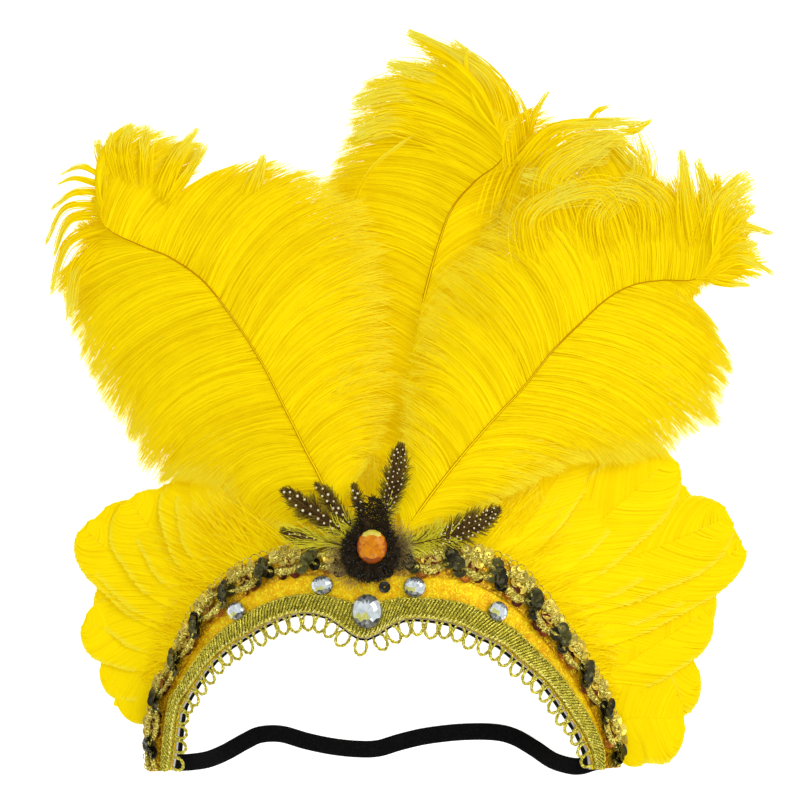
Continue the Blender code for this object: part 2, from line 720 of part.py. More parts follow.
def side_feather(row, finish, headpiece):
    """A broad flat feather, held in the band by its root and laid down to the table."""
    name, station, tip_x, tip_y, width, tip_z, curl = row
    top, bottom = [], []

    def add_section(spots, way_up, halves):
        top.append([spot + way_up * half for spot, half in zip(spots, halves)])
        bottom.append([spot - way_up * half for spot, half in zip(spots, halves)])

    def across_band(part):
        """A place in the quills' layer and the way along the band there."""
        place = band_point(station, part, QUILL_LAYER)
        return place, (band_point(station + STATION_NUDGE, part, QUILL_LAYER) - place).normalized()

    for part in ROOT_SEAT:
        place, way = across_band(part)
        spots = [place + way * ROOT_HALF * across for across in VANE_ACROSS]
        add_section(spots, band_normal(place.x), [SIDE_THICK / 2] * len(VANE_ACROSS))
    edge, way_at_edge = across_band(EDGE_PART)
    tip = Vector((tip_x, tip_y, tip_z))
    out = band_toward_edge(station)
    face = band_normal(edge.x)
    fall = -out.x * face.x / face.z * math.dist(edge[:2], tip[:2])
    fall = max(fall, STEEPEST_FALL * (tip_z - edge.z))
    halves = [mix(SIDE_THICK, SIDE_EDGE_THICK, abs(across)) / 2 for across in VANE_ACROSS]
    for u, wide in VANE_OUTLINE:
        place = side_feather_path(edge, tip, out, fall, u)
        later = min(u + PATH_NUDGE, 1.0)
        run = side_feather_path(edge, tip, out, fall, later)
        run -= side_feather_path(edge, tip, out, fall, later - PATH_NUDGE)
        run = Vector((run.x, run.y, 0)).normalized()
        flat = Vector((run.y, -run.x, 0))
        if flat.dot(way_at_edge) < 0:
            flat = -flat
        levelled = min(u / LEVEL_FROM, 1.0)
        way = way_at_edge.lerp(flat, levelled).normalized()
        half = max(width / 2 * wide, ROOT_HALF)
        spots = []
        for across in VANE_ACROSS:
            bent = across * across
            pulled = run * (-VANE_SWEEP * half * bent * u)
            spots.append(lifted(place + way * half * across + pulled, -curl * bent * levelled))
        add_section(spots, Vector((0, 0, 1)), halves)
    points, faces = skin(top, bottom)
    add_piece(name, points, faces, finish, headpiece)


def guinea_feather(row, finish, headpiece):
    """A small spotted feather whose root is held under the rosette."""
    name, tip_x, tip_y, width, tip_z = row
    hub = Vector((ROSETTE_X, ROSETTE_Y, band_height(ROSETTE_X) + GUINEA_SEAT))
    run = Vector((tip_x - hub.x, tip_y - hub.y, 0)).normalized()
    root = hub + run * GUINEA_ROOT
    tip = Vector((tip_x, tip_y, tip_z))
    way = Vector((run.y, -run.x, 0))
    top, bottom = [], []
    for u, wide in GUINEA_OUTLINE:
        place = root.lerp(tip, u)
        place.z = mix(root.z, tip.z, u * u)
        spots = [place + way * width / 2 * wide * across for across in (-1, 0, 1)]
        top.append([lifted(spot, GUINEA_THICK / 2) for spot in spots])
        bottom.append([lifted(spot, -GUINEA_THICK / 2) for spot in spots])
    points, faces = skin(top, bottom)
    add_piece(name, points, faces, finish, headpiece)


def elastic_strap(finish, headpiece):
    """A flat ribbon from the back of one end of the band to the other."""
    top, bottom = [], []
    count = (len(STRAP_ROUTE) - 1) * STRAP_STEPS
    for i in range(count + 1):
        t = i / STRAP_STEPS
        place = Vector(spline(STRAP_ROUTE, t))
        run = Vector(spline(STRAP_ROUTE, t + STATION_NUDGE)) - Vector(spline(STRAP_ROUTE, t - STATION_NUDGE))
        way = Vector((-run.y, run.x, 0)).normalized()
        face = run.cross(way).normalized()
        sides = [place + way * STRAP_WIDTH / 2 * across for across in (-1, 1)]
        top.append([side + face * STRAP_THICK / 2 for side in sides])
        bottom.append([side - face * STRAP_THICK / 2 for side in sides])
    points, faces = skin(top, bottom)
    add_piece("elastic_strap", points, faces, finish, headpiece)


def rest_on_table(headpiece):
    """Moves the whole so that the middle of its box is over the origin and it stands on z = 0."""
    bpy.context.view_layer.update()
    graph = bpy.context.evaluated_depsgraph_get()
    corners = []
    for obj in bpy.data.objects:
        if obj.type != "MESH" or obj.hide_render:
            continue
        solid = obj.evaluated_get(graph)
        corners += [solid.matrix_world @ vertex.co for vertex in solid.data.vertices]
    low = [min(c[i] for c in corners) for i in range(3)]
    high = [max(c[i] for c in corners) for i in range(3)]
    headpiece.location = (-(low[0] + high[0]) / 2, -(low[1] + high[1]) / 2, -low[2])


def main():
    clear_scene()
    finish = {name: make_finish(name) for name in FINISHES}
    headpiece = bpy.data.objects.new("headpiece", None)
    bpy.context.scene.collection.objects.link(headpiece)
    band_layer("band_lining", lambda _: LINING_REACH, 2, LINING, finish["felt"], headpiece)
    band_layer("band_core", lambda _: CORE_REACH, 1, CORE, finish["stiffener"], headpiece)
    band_layer("band_cover", lambda _: COVER_REACH, 2, COVER, finish["brocade"], headpiece)
    loop_braid(finish["gold_braid"], headpiece)
    sequin_trim(finish["sequins"], headpiece)
    for row in STONES:
        cut_stone(row, finish["clear_stone"], headpiece)
    rosette(finish["rosette"], headpiece)
    cut_stone(AMBER_STONE, finish["amber"], headpiece)
    for name, rows, station, locks in PLUMES:
        plume(name, rows, station, locks, finish["yellow_plume"], headpiece)
    for row in SIDE_FEATHERS:
        side_feather(row, finish["yellow_vane"], headpiece)
    for row in GUINEA_FEATHERS:
        guinea_feather(row, finish["guinea"], headpiece)
    elastic_strap(finish["elastic"], headpiece)
    rest_on_table(headpiece)


main()
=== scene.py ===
"""The looks of the feather headpiece, laid on its back on a pale table.

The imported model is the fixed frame. Sizes below are millimetres in the frame
of the part's own tables, and place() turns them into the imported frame.
"""

import math

import bpy
import numpy as np
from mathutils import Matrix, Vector


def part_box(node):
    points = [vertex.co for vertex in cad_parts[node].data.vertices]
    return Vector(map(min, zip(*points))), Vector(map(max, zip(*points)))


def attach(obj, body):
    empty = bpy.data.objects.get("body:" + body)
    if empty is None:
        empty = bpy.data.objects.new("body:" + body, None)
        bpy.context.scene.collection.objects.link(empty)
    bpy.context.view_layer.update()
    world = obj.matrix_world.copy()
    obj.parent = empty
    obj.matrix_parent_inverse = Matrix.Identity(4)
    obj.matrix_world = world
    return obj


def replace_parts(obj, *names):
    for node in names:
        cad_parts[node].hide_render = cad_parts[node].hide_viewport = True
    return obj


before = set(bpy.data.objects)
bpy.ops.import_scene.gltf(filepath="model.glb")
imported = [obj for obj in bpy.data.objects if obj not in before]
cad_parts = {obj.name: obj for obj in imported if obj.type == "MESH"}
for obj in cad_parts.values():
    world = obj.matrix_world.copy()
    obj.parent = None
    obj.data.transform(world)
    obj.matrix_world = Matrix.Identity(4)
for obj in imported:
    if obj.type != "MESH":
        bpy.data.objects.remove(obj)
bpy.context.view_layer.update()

MM = 0.001

# The camera: the photograph's frame is FRAME_WIDTH across at the table
FRAME_WIDTH = 399.5
FRAME_CENTER = (-5.25, 1.0)
CAMERA_HEIGHT = 6000.0
CAMERA_FOCUS_HEIGHT = 20.0
SENSOR_WIDTH = 36.0

# The bent band, as in the part's tables
CROWN = 58.0
HALF_SPAN = 118.0
MIDDLE_X = -13.0
BEND_POWER = 2.4
END_REST = -1.35
PEAK_X = -23.0
PEAK_DEPTH = 12.5
PEAK_SPREAD = 9.8
PEAK_FADES_AT = 0.45
# Columns: lower_x, lower_y, upper_x, upper_y
BAND_SECTIONS = np.array((
    (-118, -184.5, -127, -185.5),
    (-116.5, -176.5, -129.3, -176),
    (-113.3, -153.5, -125.5, -147.5),
    (-107, -142.5, -119.5, -134),
    (-98, -130, -111.5, -118),
    (-90, -122.5, -105, -105),
    (-81, -116.5, -95.5, -93.5),
    (-69, -109.5, -82, -83),
    (-55.5, -105, -61.5, -74.5),
    (-38, -104.5, -40, -72.8),
    (-21, -105, -21, -72.5),
    (2.5, -107, 5, -72.3),
    (22, -110.3, 27.5, -72.8),
    (33.5, -115.8, 48.5, -81.5),
    (45, -121.3, 61.5, -94),
    (52.5, -127.8, 70.5, -106),
    (66, -139.8, 83.5, -125.3),
    (77, -155, 94, -143.3),
    (84, -165.8, 99.5, -157.3),
    (88.5, -176, 103.5, -171.5),
    (89.5, -184, 102, -183.5),
))
BAND_END = len(BAND_SECTIONS) - 1
TAPE_TOP = 4.4
COVER_TOP = 3.15
QUILL_LAYER = 0.9
BRAID_WIDTH = (0.28, 0.37)
TRIM_START = (0.57, 0.44)
TRIM_END = 1.035

# The rosette and its stone
ROSETTE_X, ROSETTE_Y = -19.5, -75.0
ROSETTE_BASE = 6.9
ROSETTE_RISE = 4.2
AMBER_X, AMBER_Y = -18.7, -72.0
AMBER_SEAT = ROSETTE_BASE + ROSETTE_RISE + 0.3
AMBER_RISE = 5.6

# Ostrich plumes. Columns: x, y, z, left_x, left_y, left_z, right_x, right_y, right_z
LEFT_PLUME = (
    (-35, -62, 58, -62, -64, 50, -30, -45, 56),
    (-44, -39.5, 54, -83, -58, 34, -16, -22, 46),
    (-52.5, -23, 48, -96, -39, 25, -10, -2, 38),
    (-63.5, -1, 41, -121, -33, 14, -9, 28, 30),
    (-74, 19.5, 35, -138, -24, 5, -11, 60, 24),
    (-87, 39.5, 30, -152, -3, 1.4, -22, 95, 20),
    (-103, 60, 27, -165, 25, 0.8, -42, 118, 15),
    (-120, 72, 26, -172, 47, 0.8, -73, 123, 11),
    (-130, 76, 26, -180, 57, 0.8, -87, 118, 12),
    (-137, 79, 27, -183, 76, 1.8, -107, 108, 16),
    (-145, 82.5, 29, -180, 95, 6, -102, 127, 20),
    (-151, 86.5, 32, -176, 111, 12, -119, 134, 24),
    (-154, 92.5, 35, -166, 120, 20, -139, 138, 28),
    (-153, 99, 37, -159, 129, 27, -150, 133, 29),
)
CENTER_PLUME = (
    (-9, -54, 50, -20, -46, 47, 0, -44, 47),
    (-7, -40, 43, -27, -30, 36, 12, -26, 36),
    (-4, -14.5, 31, -37.5, -9.5, 22, 27.5, 10.5, 22),
    (-0.5, 14.5, 22, -47.5, 20.5, 12, 37.5, 40.5, 12),
    (4, 38, 17, -52.5, 50.5, 6, 45, 63, 6),
    (8.5, 58, 13.5, -51, 69.5, 2.3, 51, 80.5, 2.6),
    (14, 78, 12.5, -49, 88, 1.8, 56, 94.5, 2.4),
    (21, 96.5, 13.5, -44, 105.5, 1.8, 62.5, 108, 2.6),
    (32.5, 110, 17, -37.5, 116.5, 5, 69, 120.5, 6),
    (42.5, 117.5, 23, -30, 134.5, 9, 69.5, 153, 12),
    (46.5, 123, 28, -27, 151.5, 13, 55, 155.5, 18),
    (46, 130, 32, -12, 168.5, 17, 41, 165.5, 22),
    (43.5, 135.5, 34, -2, 185, 22, 29.5, 177.5, 24),
)
RIGHT_PLUME = (
    (-4, -67, 58.4, -7.5, -53.5, 57, 20, -59.5, 54),
    (10, -47, 54, -6, -30.5, 50, 45, -49.5, 47),
    (25.5, -27.5, 48, -4, -2, 42, 75, -34.5, 34),
    (42, -8.5, 42, 1, 28, 32, 101, -25.5, 21),
    (56.5, 7, 37, 12.5, 55.5, 26, 121, -23.5, 15),
    (70.5, 24.5, 33, 30, 78, 22, 140, -12, 10),
    (85, 39, 30, 47.5, 95.5, 21, 154, -0.5, 2.5),
    (98, 51, 28, 62.5, 111.5, 20, 162.5, 16.5, 0.8),
    (111, 58, 28, 77.5, 125.5, 18, 158.5, 31.5, 0.8),
    (126, 60.5, 29, 95, 140.5, 14, 152, 44.5, 2.5),
    (140, 60.5, 32, 120, 140.5, 14, 181, 64, 10),
    (146.5, 64.5, 35, 137, 126, 18, 181.5, 84, 16),
    (150, 71.5, 37, 146, 115.5, 24, 171, 110.5, 24),
    (151, 75.5, 38, 152, 114.5, 27, 162.5, 113.5, 27),
)
# Stretches of a plume's edge whose barbs are longer or shorter, and how unevenly.
# Columns: plume, side, first row, last row, share of the length kept, random shortening
EDGE_STRETCHES = (
    ("plume_left", -1, 0.6, 4, 1.07, 0),
    ("plume_left", -1, 3.9, 5.2, 0.98, 0),
    ("plume_left", -1, 5.4, 6.7, 1.05, 0),
    ("plume_left", -1, 8.2, 9.6, 0.72, 0.1),
    ("plume_left", -1, 9.2, 13.4, 0.46, 0.2),
    ("plume_left", 1, 8.5, 9.5, 0.86, 0),
    ("plume_left", 1, 0.2, 5.6, 1.04, 0.5),
    ("plume_left", 1, 5.4, 8.4, 0.93, 0.15),
    ("plume_center", -1, 0.5, 6.5, 1.12, 0.5),
    ("plume_center", 1, 0.5, 9.4, 1.12, 0.5),
    ("plume_center", -1, 10.9, 12, 0.8, 0.2),
    ("plume_center", 1, 8.7, 11.8, 0.6, 0.2),
    ("plume_right", -1, 0.2, 8.2, 1.04, 0.5),
    ("plume_right", -1, 8.9, 11.3, 0.6, 0.2),
    ("plume_right", 1, 2.5, 6.2, 1.07, 0),
    ("plume_right", 1, 7.2, 8.9, 0.89, 0),
    ("plume_right", 1, 8.4, 9.9, 0.68, 0.1),
    ("plume_right", 1, 9.9, 12.6, 0.8, 0.2),
)
ROOT_SINK = 5.0
BARB_BOW = 0.12
BARB_DROOP = 1.6
PLUME_THICK = 3.6
PLUME_EDGE_THICK = 1.1
PLUME_TAPER = 0.8

# Locks that leave the plumes' flow: hooked ends, spikes and the tangle on the right plume.
# Columns: start_x, start_y, via_x, via_y, end_x, end_y, start_z, end_z, start_spread, end_spread, barbs
CENTER_LOCKS = (
    (45, 116, 37, 159, -1.5, 185, 26, 22, 15, 1.2, 300),
    (53, 122, 47, 154, 20, 180, 22, 22, 8, 2.5, 170),
    (38, 136, 19, 160, -12, 169, 26, 20, 12, 2.5, 170),
    (30, 134, 2, 155, -29.5, 149, 24, 15, 14, 5, 180),
    (28, 128, -6, 140, -29, 134, 24, 13, 14, 7, 150),
    (60, 130, 58, 144, 51.5, 157, 20, 20, 2.5, 0.4, 18),
    (59, 128, 62, 142, 69.5, 155.5, 20, 20, 4, 0.4, 30),
    (-34, 86, -19, 117, 7.5, 137, 17, 20, 2, 0.6, 10),
    (16, 84, 40, 84, 64, 100, 10, 4, 34, 30, 240),
    (6, 54, 30, 54, 54, 72, 12, 6, 34, 32, 240),
    (12, 74, -14, 82, -40, 104, 10, 4, 34, 30, 160),
)
RIGHT_LOCKS = (
    (54, 118, 74, 137, 118, 139, 27, 24, 7, 2, 90),
    (104, 134, 114, 136, 121.5, 141.5, 26, 24, 4, 0.6, 24),
    (60, 112, 82, 131, 112, 134, 27, 24, 12, 6, 80),
    (62, 100, 76, 121, 100, 124, 27, 24, 14, 9, 70),
    (88, 137, 93.5, 145, 101.5, 148, 26, 24, 3, 0.8, 22),
    (95, 93, 117, 113, 112, 137, 29, 25, 12, 4, 60),
    (75, 81, 72, 112, 101, 131, 29, 27, 15, 6, 60),
    (90, 76, 82, 104, 56, 114, 30, 26, 15, 7, 60),
    (110, 71, 98, 103, 67, 98, 31, 28, 16, 6, 60),
    (120, 68, 117, 100, 90, 105, 31, 28, 15, 5, 60),
    (129, 66, 127, 98, 106, 113, 31, 27, 14, 6, 60),
    (66, 62, 60, 92, 84, 108, 30, 28, 16, 6, 60),
    (62, 84, 74, 100, 92, 124, 18, 17, 26, 22, 140),
    (100, 60, 93, 92, 112, 108, 31, 28, 16, 6, 60),
    (145, 68, 139, 100, 135.5, 126, 35, 30, 11, 1, 120),
    (147.5, 70, 149, 98, 143.5, 121.5, 35, 30, 9, 1.2, 90),
    (147.5, 68, 155, 98, 171, 112.5, 36, 30, 11, 8, 170),
    (149, 69, 163, 92, 172, 99, 36, 30, 8, 7, 110),
    (149, 67, 163, 86, 181.5, 84, 36, 30, 7, 0.6, 70),
    (148, 66, 162, 77, 174, 78, 36, 31, 7, 1.2, 60),
    (148, 65, 164, 71.5, 181.5, 63.5, 36, 30, 5, 0.5, 60),
    (147, 61, 159, 58.5, 170.5, 58, 34, 29, 4, 0.5, 50),
    (62, 96, 76, 112, 95, 120, 19, 18, 26, 20, 130),
    (52, 84, 60, 112, 79, 132, 18, 17, 24, 18, 130),
    (86, 126, 101, 130.5, 117, 115, 23, 22, 7, 5, 90),
)
LEFT_LOCKS = (
    (-150, 110, -163, 117, -175, 113, 37, 32, 3, 0.4, 26),
    (-150, 106, -166, 111.5, -176.5, 108, 37, 31, 3, 0.4, 26),
    (-150, 103, -167, 104.5, -179.5, 95.5, 36, 28, 4, 0.4, 34),
    (-150, 98, -172, 97, -182.5, 78, 36, 24, 4, 0.4, 40),
    (-150, 93, -169.5, 91, -178, 72.5, 35, 22, 5, 0.5, 46),
    (-151, 88, -171, 79, -180, 53, 33, 14, 5, 0.5, 46),
    (-154, 80, -167, 65, -171, 40, 28, 8, 7, 1.5, 70),
    (-150, 108, -154.5, 122, -156, 131.5, 37, 28, 5, 1.2, 44),
    (-146, 110, -149.5, 125, -148, 135, 37, 28, 5, 1.2, 44),
    (-140, 108, -142.5, 126, -139.5, 139.5, 37, 28, 6, 1.5, 56),
    (-132, 106, -132.5, 124, -131, 138.5, 35, 26, 6, 2.2, 56),
    (-125, 101, -117, 121, -105.5, 137, 33, 22, 8, 1.2, 84),
    (-122, 98, -111, 114, -102, 129, 31, 20, 6, 1.5, 56),
    (-90, 81, -78, 110, -73, 124, 26, 15, 9, 0.8, 80),
)

# Name, rows, loose locks, barbs, seed of its random draws, and where its bare quill shows
PLUMES = (
    ("plume_left", LEFT_PLUME, LEFT_LOCKS, 11500, 11, (0, 11)),
    ("plume_center", CENTER_PLUME, CENTER_LOCKS, 10000, 23, (4.3, 9.7)),
    ("plume_right", RIGHT_PLUME, RIGHT_LOCKS, 11500, 37, (0, 10.3)),
)

# Flat side feathers. Columns: name, station, tip_x, tip_y, width, tip_z, curl
SIDE_FEATHERS = (
    ("side_feather_left_1", 6.3, -112, -35.8, 39, 8.2, 1.5),
    ("side_feather_left_2", 5.35, -141, -49, 44, 6.4, 1.2),
    ("side_feather_left_3", 4.4, -164, -63, 36, 4.6, 1),
    ("side_feather_left_4", 3.35, -163.5, -110, 34, 2.7, 0.6),
    ("side_feather_left_5", 2.2, -147, -150.5, 31.5, 0.7, 0),
    ("side_feather_right_1", 12.95, 90, -14.5, 31, 9, 1),
    ("side_feather_right_2", 14.15, 131, -27.5, 42, 8.6, 1.5),
    ("side_feather_right_3", 15, 160, -57, 42, 6.4, 1.2),
    ("side_feather_right_4", 15.9, 167, -72.5, 30, 4.9, 1),
    ("side_feather_right_5", 16.9, 149.5, -104.5, 34, 3.4, 0.6),
    ("side_feather_right_6", 18.3, 137.5, -158.5, 46, 1.9, 0),
)
# Feathers of the lower layer, between those. The first column names the feather that each goes with
LOWER_FEATHERS = (
    ("side_feather_left_1", 6.8, -99, -33.5, 44, 8, 1.2),
    ("side_feather_left_1", 5.8, -127, -44, 42, 6, 1.2),
    ("side_feather_left_2", 4.85, -156, -56.5, 46, 4, 1),
    ("side_feather_left_3", 3.9, -153, -88, 42, 2.4, 0.8),
    ("side_feather_left_4", 2.8, -155, -131, 36, 0.8, 0.3),
    ("side_feather_right_1", 12.6, 72, -24, 44, 12, 1.2),
    ("side_feather_right_1", 13.6, 111, -20, 42, 7, 1.2),
    ("side_feather_right_2", 14.6, 141, -47, 46, 6, 1.2),
    ("side_feather_right_3", 15.45, 164, -66, 42, 4, 1),
    ("side_feather_right_4", 16.4, 150, -91, 42, 2.6, 0.8),
    ("side_feather_right_5", 17.6, 143, -131, 44, 1.2, 0.3),
    ("side_feather_right_6", 19.1, 114, -166, 28, 0.8, 0),
)
VANE_BARBS = 440
VANE_ROUND_FROM = 0.7

# Spotted feathers round the rosette. Columns: name, tip_x, tip_y, width, tip_z, downy, sideways bow, barb
GUINEA_FEATHERS = (
    ("guinea_feather_1", -63.5, -43.8, 10.5, 57.5, 0.3, 0, 5.5),
    ("guinea_feather_2", -46.5, -41, 7.5, 60, 0.25, 0, 5.5),
    ("guinea_feather_3", -28, -41.5, 5, 61, 0.2, 0, 4.5),
    ("guinea_feather_4", -63.5, -64.3, 8, 59.5, 0.6, 0, 15),
    ("guinea_feather_5", -4.3, -21.5, 12, 58, 0.3, 1.5, 6.5),
    ("guinea_feather_6", 44.5, -53.8, 14, 58, 0.55, 4, 6),
)
GUINEA_ROOT = 10.2
GUINEA_SEAT = 6.25

# Columns: x, y, z of the strap's middle line
STRAP_ROUTE = (
    (-124, -180.6, 2.6),
    (-119, -180.6, 7.6),
    (-114.5, -180.7, 12.6),
    (-109, -180.4, 13),
    (-101, -179.2, 9),
    (-92.5, -175.9, 3.2),
    (-82.5, -170.4, 0.7),
    (-75, -167.1, 0.5),
    (-64.5, -166.8, 0.5),
    (-52, -170.3, 0.5),
    (-39, -173, 0.5),
    (-26.5, -174.3, 0.5),
    (-16, -174, 0.5),
    (-5, -170.8, 0.5),
    (8, -167.8, 0.5),
    (25.5, -165.8, 0.5),
    (42, -165.8, 0.5),
    (52.5, -168.3, 0.6),
    (62.5, -174, 2.6),
    (71.5, -179.8, 8.4),
    (80.5, -182.4, 13.2),
    (86, -182.4, 13.4),
    (91, -181, 9.2),
    (96, -180, 3.9),
)
STRAP_WIDTH = 8.5

# Clear stones. Columns: name, x, y, half_x, half_y, rise, turn in degrees
STONES = (
    ("gem_center", -21.2, -104.3, 7.8, 8.8, 5, 0),
    ("gem_mid_left", -42.8, -91.3, 5.7, 4.8, 3.4, 20),
    ("gem_mid_right", 1.9, -92.2, 5.7, 5.2, 3.4, -20),
    ("gem_side_left", -84.1, -104.4, 5.2, 4.6, 3.2, 35),
    ("gem_side_right", 41.9, -104.4, 5.3, 5.1, 3.2, -35),
)
STONE_SEAT = 4.7

# A plume's quill: the share of its length over which it comes up from under the barbs, its rise,
# its thickness and the points along it and along the pale strip on its top, a painted highlight
QUILL_COMES_UP = 0.08
QUILL_LIFT = 1.7
QUILL_ROOT_RADIUS = 0.85
QUILL_THINNING = 0.62
QUILL_POINTS = 70
PAINTED_HIGHLIGHT_POINTS = 36

# Roots and down behind the band's upper edge: longer where the plumes start than beside them
ROOT_PART = 0.97
WEB_STATIONS = (1.6, 18.9)
WEB_LENGTHS = (52.0, 22.0)
DOWN_STATIONS = (2.2, 18.8)
DOWN_COUNT = 5600
PLUMES_MIDDLE = 10.1
PLUMES_REACH = 4.6

# Width of a spotted feather along its length. Columns: way along, share of the width
GUINEA_OUTLINE = np.array((
    (0, 0.35), (0.2, 0.55), (0.45, 0.85), (0.7, 1), (0.85, 0.82), (0.95, 0.5), (1, 0.15)
))

# The rosette's edge, which is drawn out to a peak
ROSETTE_RADIUS = 14.3
ROSETTE_PEAK = 15.0
ROSETTE_PEAK_TURN = math.radians(84)
ROSETTE_PEAK_SPREAD = 0.4
PILE_COUNT = 5200
FLUFF_COUNT = 700
BEAD_COUNT = 150
BEAD_SIDES = 6

# A stone's rings of corners. Columns: share of the width, share of the height, turn in facets
STONE_RINGS = ((0.94, 0.0, 0.0), (1.0, 0.2, 0.5), (0.9, 0.55, 0.0), (0.7, 0.82, 0.5), (0.46, 1.0, 0.0))
AMBER_HALF_X, AMBER_HALF_Y = 7.5, 8.5

# Sequins. Each palette has three colours, and a dark sequin is larger than the others
DARK_SEQUIN = ((0.045, 0.04, 0.012), (0.02, 0.018, 0.008), (0.09, 0.085, 0.02))
DARK_SEQUIN_SCALE = 1.14
PALE_SEQUIN = ((0.6, 0.44, 0.06), (0.5, 0.4, 0.08), (0.74, 0.58, 0.08))
RED_SEQUIN = ((0.13, 0.02, 0.003), (0.08, 0.014, 0.003), (0.3, 0.09, 0.004))
SEQUIN_TURNS = 12
# A sequin's rings. Columns: share of the radius, height
SEQUIN_RINGS = ((0.16, 0.0), (0.55, -0.02), (1.0, 0.3))
TRIM_CELL = 24.0
TRIM_STEP = 0.5
# Sequins of one cell. Columns: way along the cell, part of the trim's width, height, palette
TRIM_PATTERN = (
    (0.36, 0.2, 0.3, RED_SEQUIN),
    (0.62, 0.16, 0.3, RED_SEQUIN),
    (0.5, 0.42, 0.4, RED_SEQUIN),
    (0.42, 0.62, 0.5, PALE_SEQUIN),
    (0.58, 0.6, 0.6, PALE_SEQUIN),
    (0.3, 0.86, 0.9, PALE_SEQUIN),
    (0.5, 0.9, 1.0, PALE_SEQUIN),
    (0.7, 0.84, 0.9, PALE_SEQUIN),
    (-0.15, 0.26, 1.6, DARK_SEQUIN),
    (-0.08, 0.42, 2.4, DARK_SEQUIN),
    (0.0, 0.56, 3.0, DARK_SEQUIN),
    (0.09, 0.7, 2.5, DARK_SEQUIN),
    (0.12, 0.4, 1.8, DARK_SEQUIN),
)
# A loose sequin that lies on the braid. Columns: station, part of the band's width
LOOSE_SEQUIN = (10.35, 0.42)
LOOSE_SEQUIN_TINT = (0.02, 0.02, 0.015)
# Rings of gold thread along the trim's upper edge
RING_POINTS = 15
RING_WIRE = 0.27

# The ribbed braid and its wire loops
RIB_SPACING = 1.75
RIB_RADIUS = 0.72
RIB_SWELLING = np.array([0.7, 1, 0.75, 1.05, 0.8, 1.05, 0.75, 1, 0.6])
CORD_STEP = 0.8
CORD_PITCH = 3.2
CORD_RADIUS = 0.5
STITCH_RADIUS = 0.45
STITCH_SWELLING = np.array([0.5, 0.9, 1, 1, 0.9, 0.5])
LOOP_COUNT = 42
LOOP_HALF = 2.95
LOOP_LENGTH = 9.0
LOOP_WIRE = 0.54
LOOP_TWIST = 0.34
LOOP_POINTS = 26
LOOP_OVERTURN = 0.95
LOOP_STATIONS = (0.35, BAND_END - 0.35)

# The strap's points along and across it, and its ribbed faces
STRAP_POINTS = 240
STRAP_COLUMNS = 26
STRAP_HALF_THICK = 0.45
STRAP_RIB = 0.05

# The floor, in metres
FLOOR_HALF = 6.0
FLOOR_Z = -0.0003

# Seeds of the random draws. The feathers in a table count on from theirs
VANE_SEED = 100
DOWN_SEED = 7
GUINEA_SEED = 300
ROSETTE_SEED = 41
SEQUIN_SEED = 59
BRAID_SEED = 71

# Steps along each strand
BARB_STEPS = 8
LOCK_STEPS = 11
VANE_STEPS = 6
DOWN_STEPS = 6
GUINEA_STEPS = 5
PILE_STEPS = 5
FLUFF_STEPS = 6

# Lights, in metres. Columns: name, size, power, place
LIGHTS = (
    ("key", 2.0, 30.0, (1.5, 0.9, 1.9)),
    ("fill", 2.2, 6.0, (-1.4, 1.2, 1.8)),
    ("front", 1.8, 10.0, (0.3, -1.9, 1.4)),
)


def spline(rows, t):
    """A smooth curve through the rows, for an array of places t counted in rows."""
    rows = np.asarray(rows, float)
    last = len(rows) - 1
    t = np.clip(np.asarray(t, float), 0, last)
    i = np.minimum(t.astype(int), last - 1)
    u = (t - i)[..., None]
    a, b, c, d = rows[np.maximum(i - 1, 0)], rows[i], rows[i + 1], rows[np.minimum(i + 2, last)]
    bend, twist = 2 * a - 5 * b + 4 * c - d, 3 * b - a - 3 * c + d
    return 0.5 * (2 * b + (c - a) * u + bend * u ** 2 + twist * u ** 3)


def unit(v):
    return v / np.maximum(np.linalg.norm(v, axis=-1, keepdims=True), 1e-9)


def run_along(steps):
    """The distance run after each of some steps."""
    return np.concatenate([[0], np.cumsum(steps)])


def band_reach(x):
    return np.minimum(np.abs(x - MIDDLE_X) / HALF_SPAN, 1)


def band_height(x):
    return END_REST + CROWN * (1 - band_reach(x) ** BEND_POWER)


def band_normal(x):
    slope = CROWN * BEND_POWER / HALF_SPAN * band_reach(x) ** (BEND_POWER - 1) * np.sign(x - MIDDLE_X)
    return unit(np.stack([slope, np.zeros_like(slope), np.ones_like(slope)], -1))


def band_seat(x, y):
    """The point of the band's bend over a place on the table, and the way out of it."""
    xs = np.array([x])
    return np.array([x, y, band_height(xs)[0]]), band_normal(xs)[0]


def band_point(station, part, height):
    """Points of the band, for arrays of stations, parts of its width and heights over the lining."""
    station, part, height = np.broadcast_arrays(*(np.asarray(v, float) for v in (station, part, height)))
    row = spline(BAND_SECTIONS, station)
    flat = row[..., 0:2] * (1 - part)[..., None] + row[..., 2:4] * part[..., None]
    fade = np.clip(1 - part / PEAK_FADES_AT, 0, 1)
    x = flat[..., 0]
    y = flat[..., 1] - PEAK_DEPTH * fade * np.exp(-(((x - PEAK_X) / PEAK_SPREAD) ** 2) / 2)
    return np.stack([x, y, band_height(x)], -1) + band_normal(x) * height[..., None]


def band_axes(station, part):
    """The ways along the band, across it and out of its face."""
    station = np.asarray(station)
    face = band_normal(band_point(station, part, 0.0)[..., 0])
    run = unit(band_point(station + 0.02, part, 0.0) - band_point(station - 0.02, part, 0.0))
    return run, unit(np.cross(face, run)), face


def toward_ends(station):
    return np.abs(2 * np.asarray(station, float) / BAND_END - 1) ** 2


def between(pair, station):
    return pair[0] + (pair[1] - pair[0]) * toward_ends(station)


def braid_part(station, part):
    return between(BRAID_WIDTH, station) * part


def trim_part(station, part):
    low = between(TRIM_START, station)
    return low + (TRIM_END - low) * part


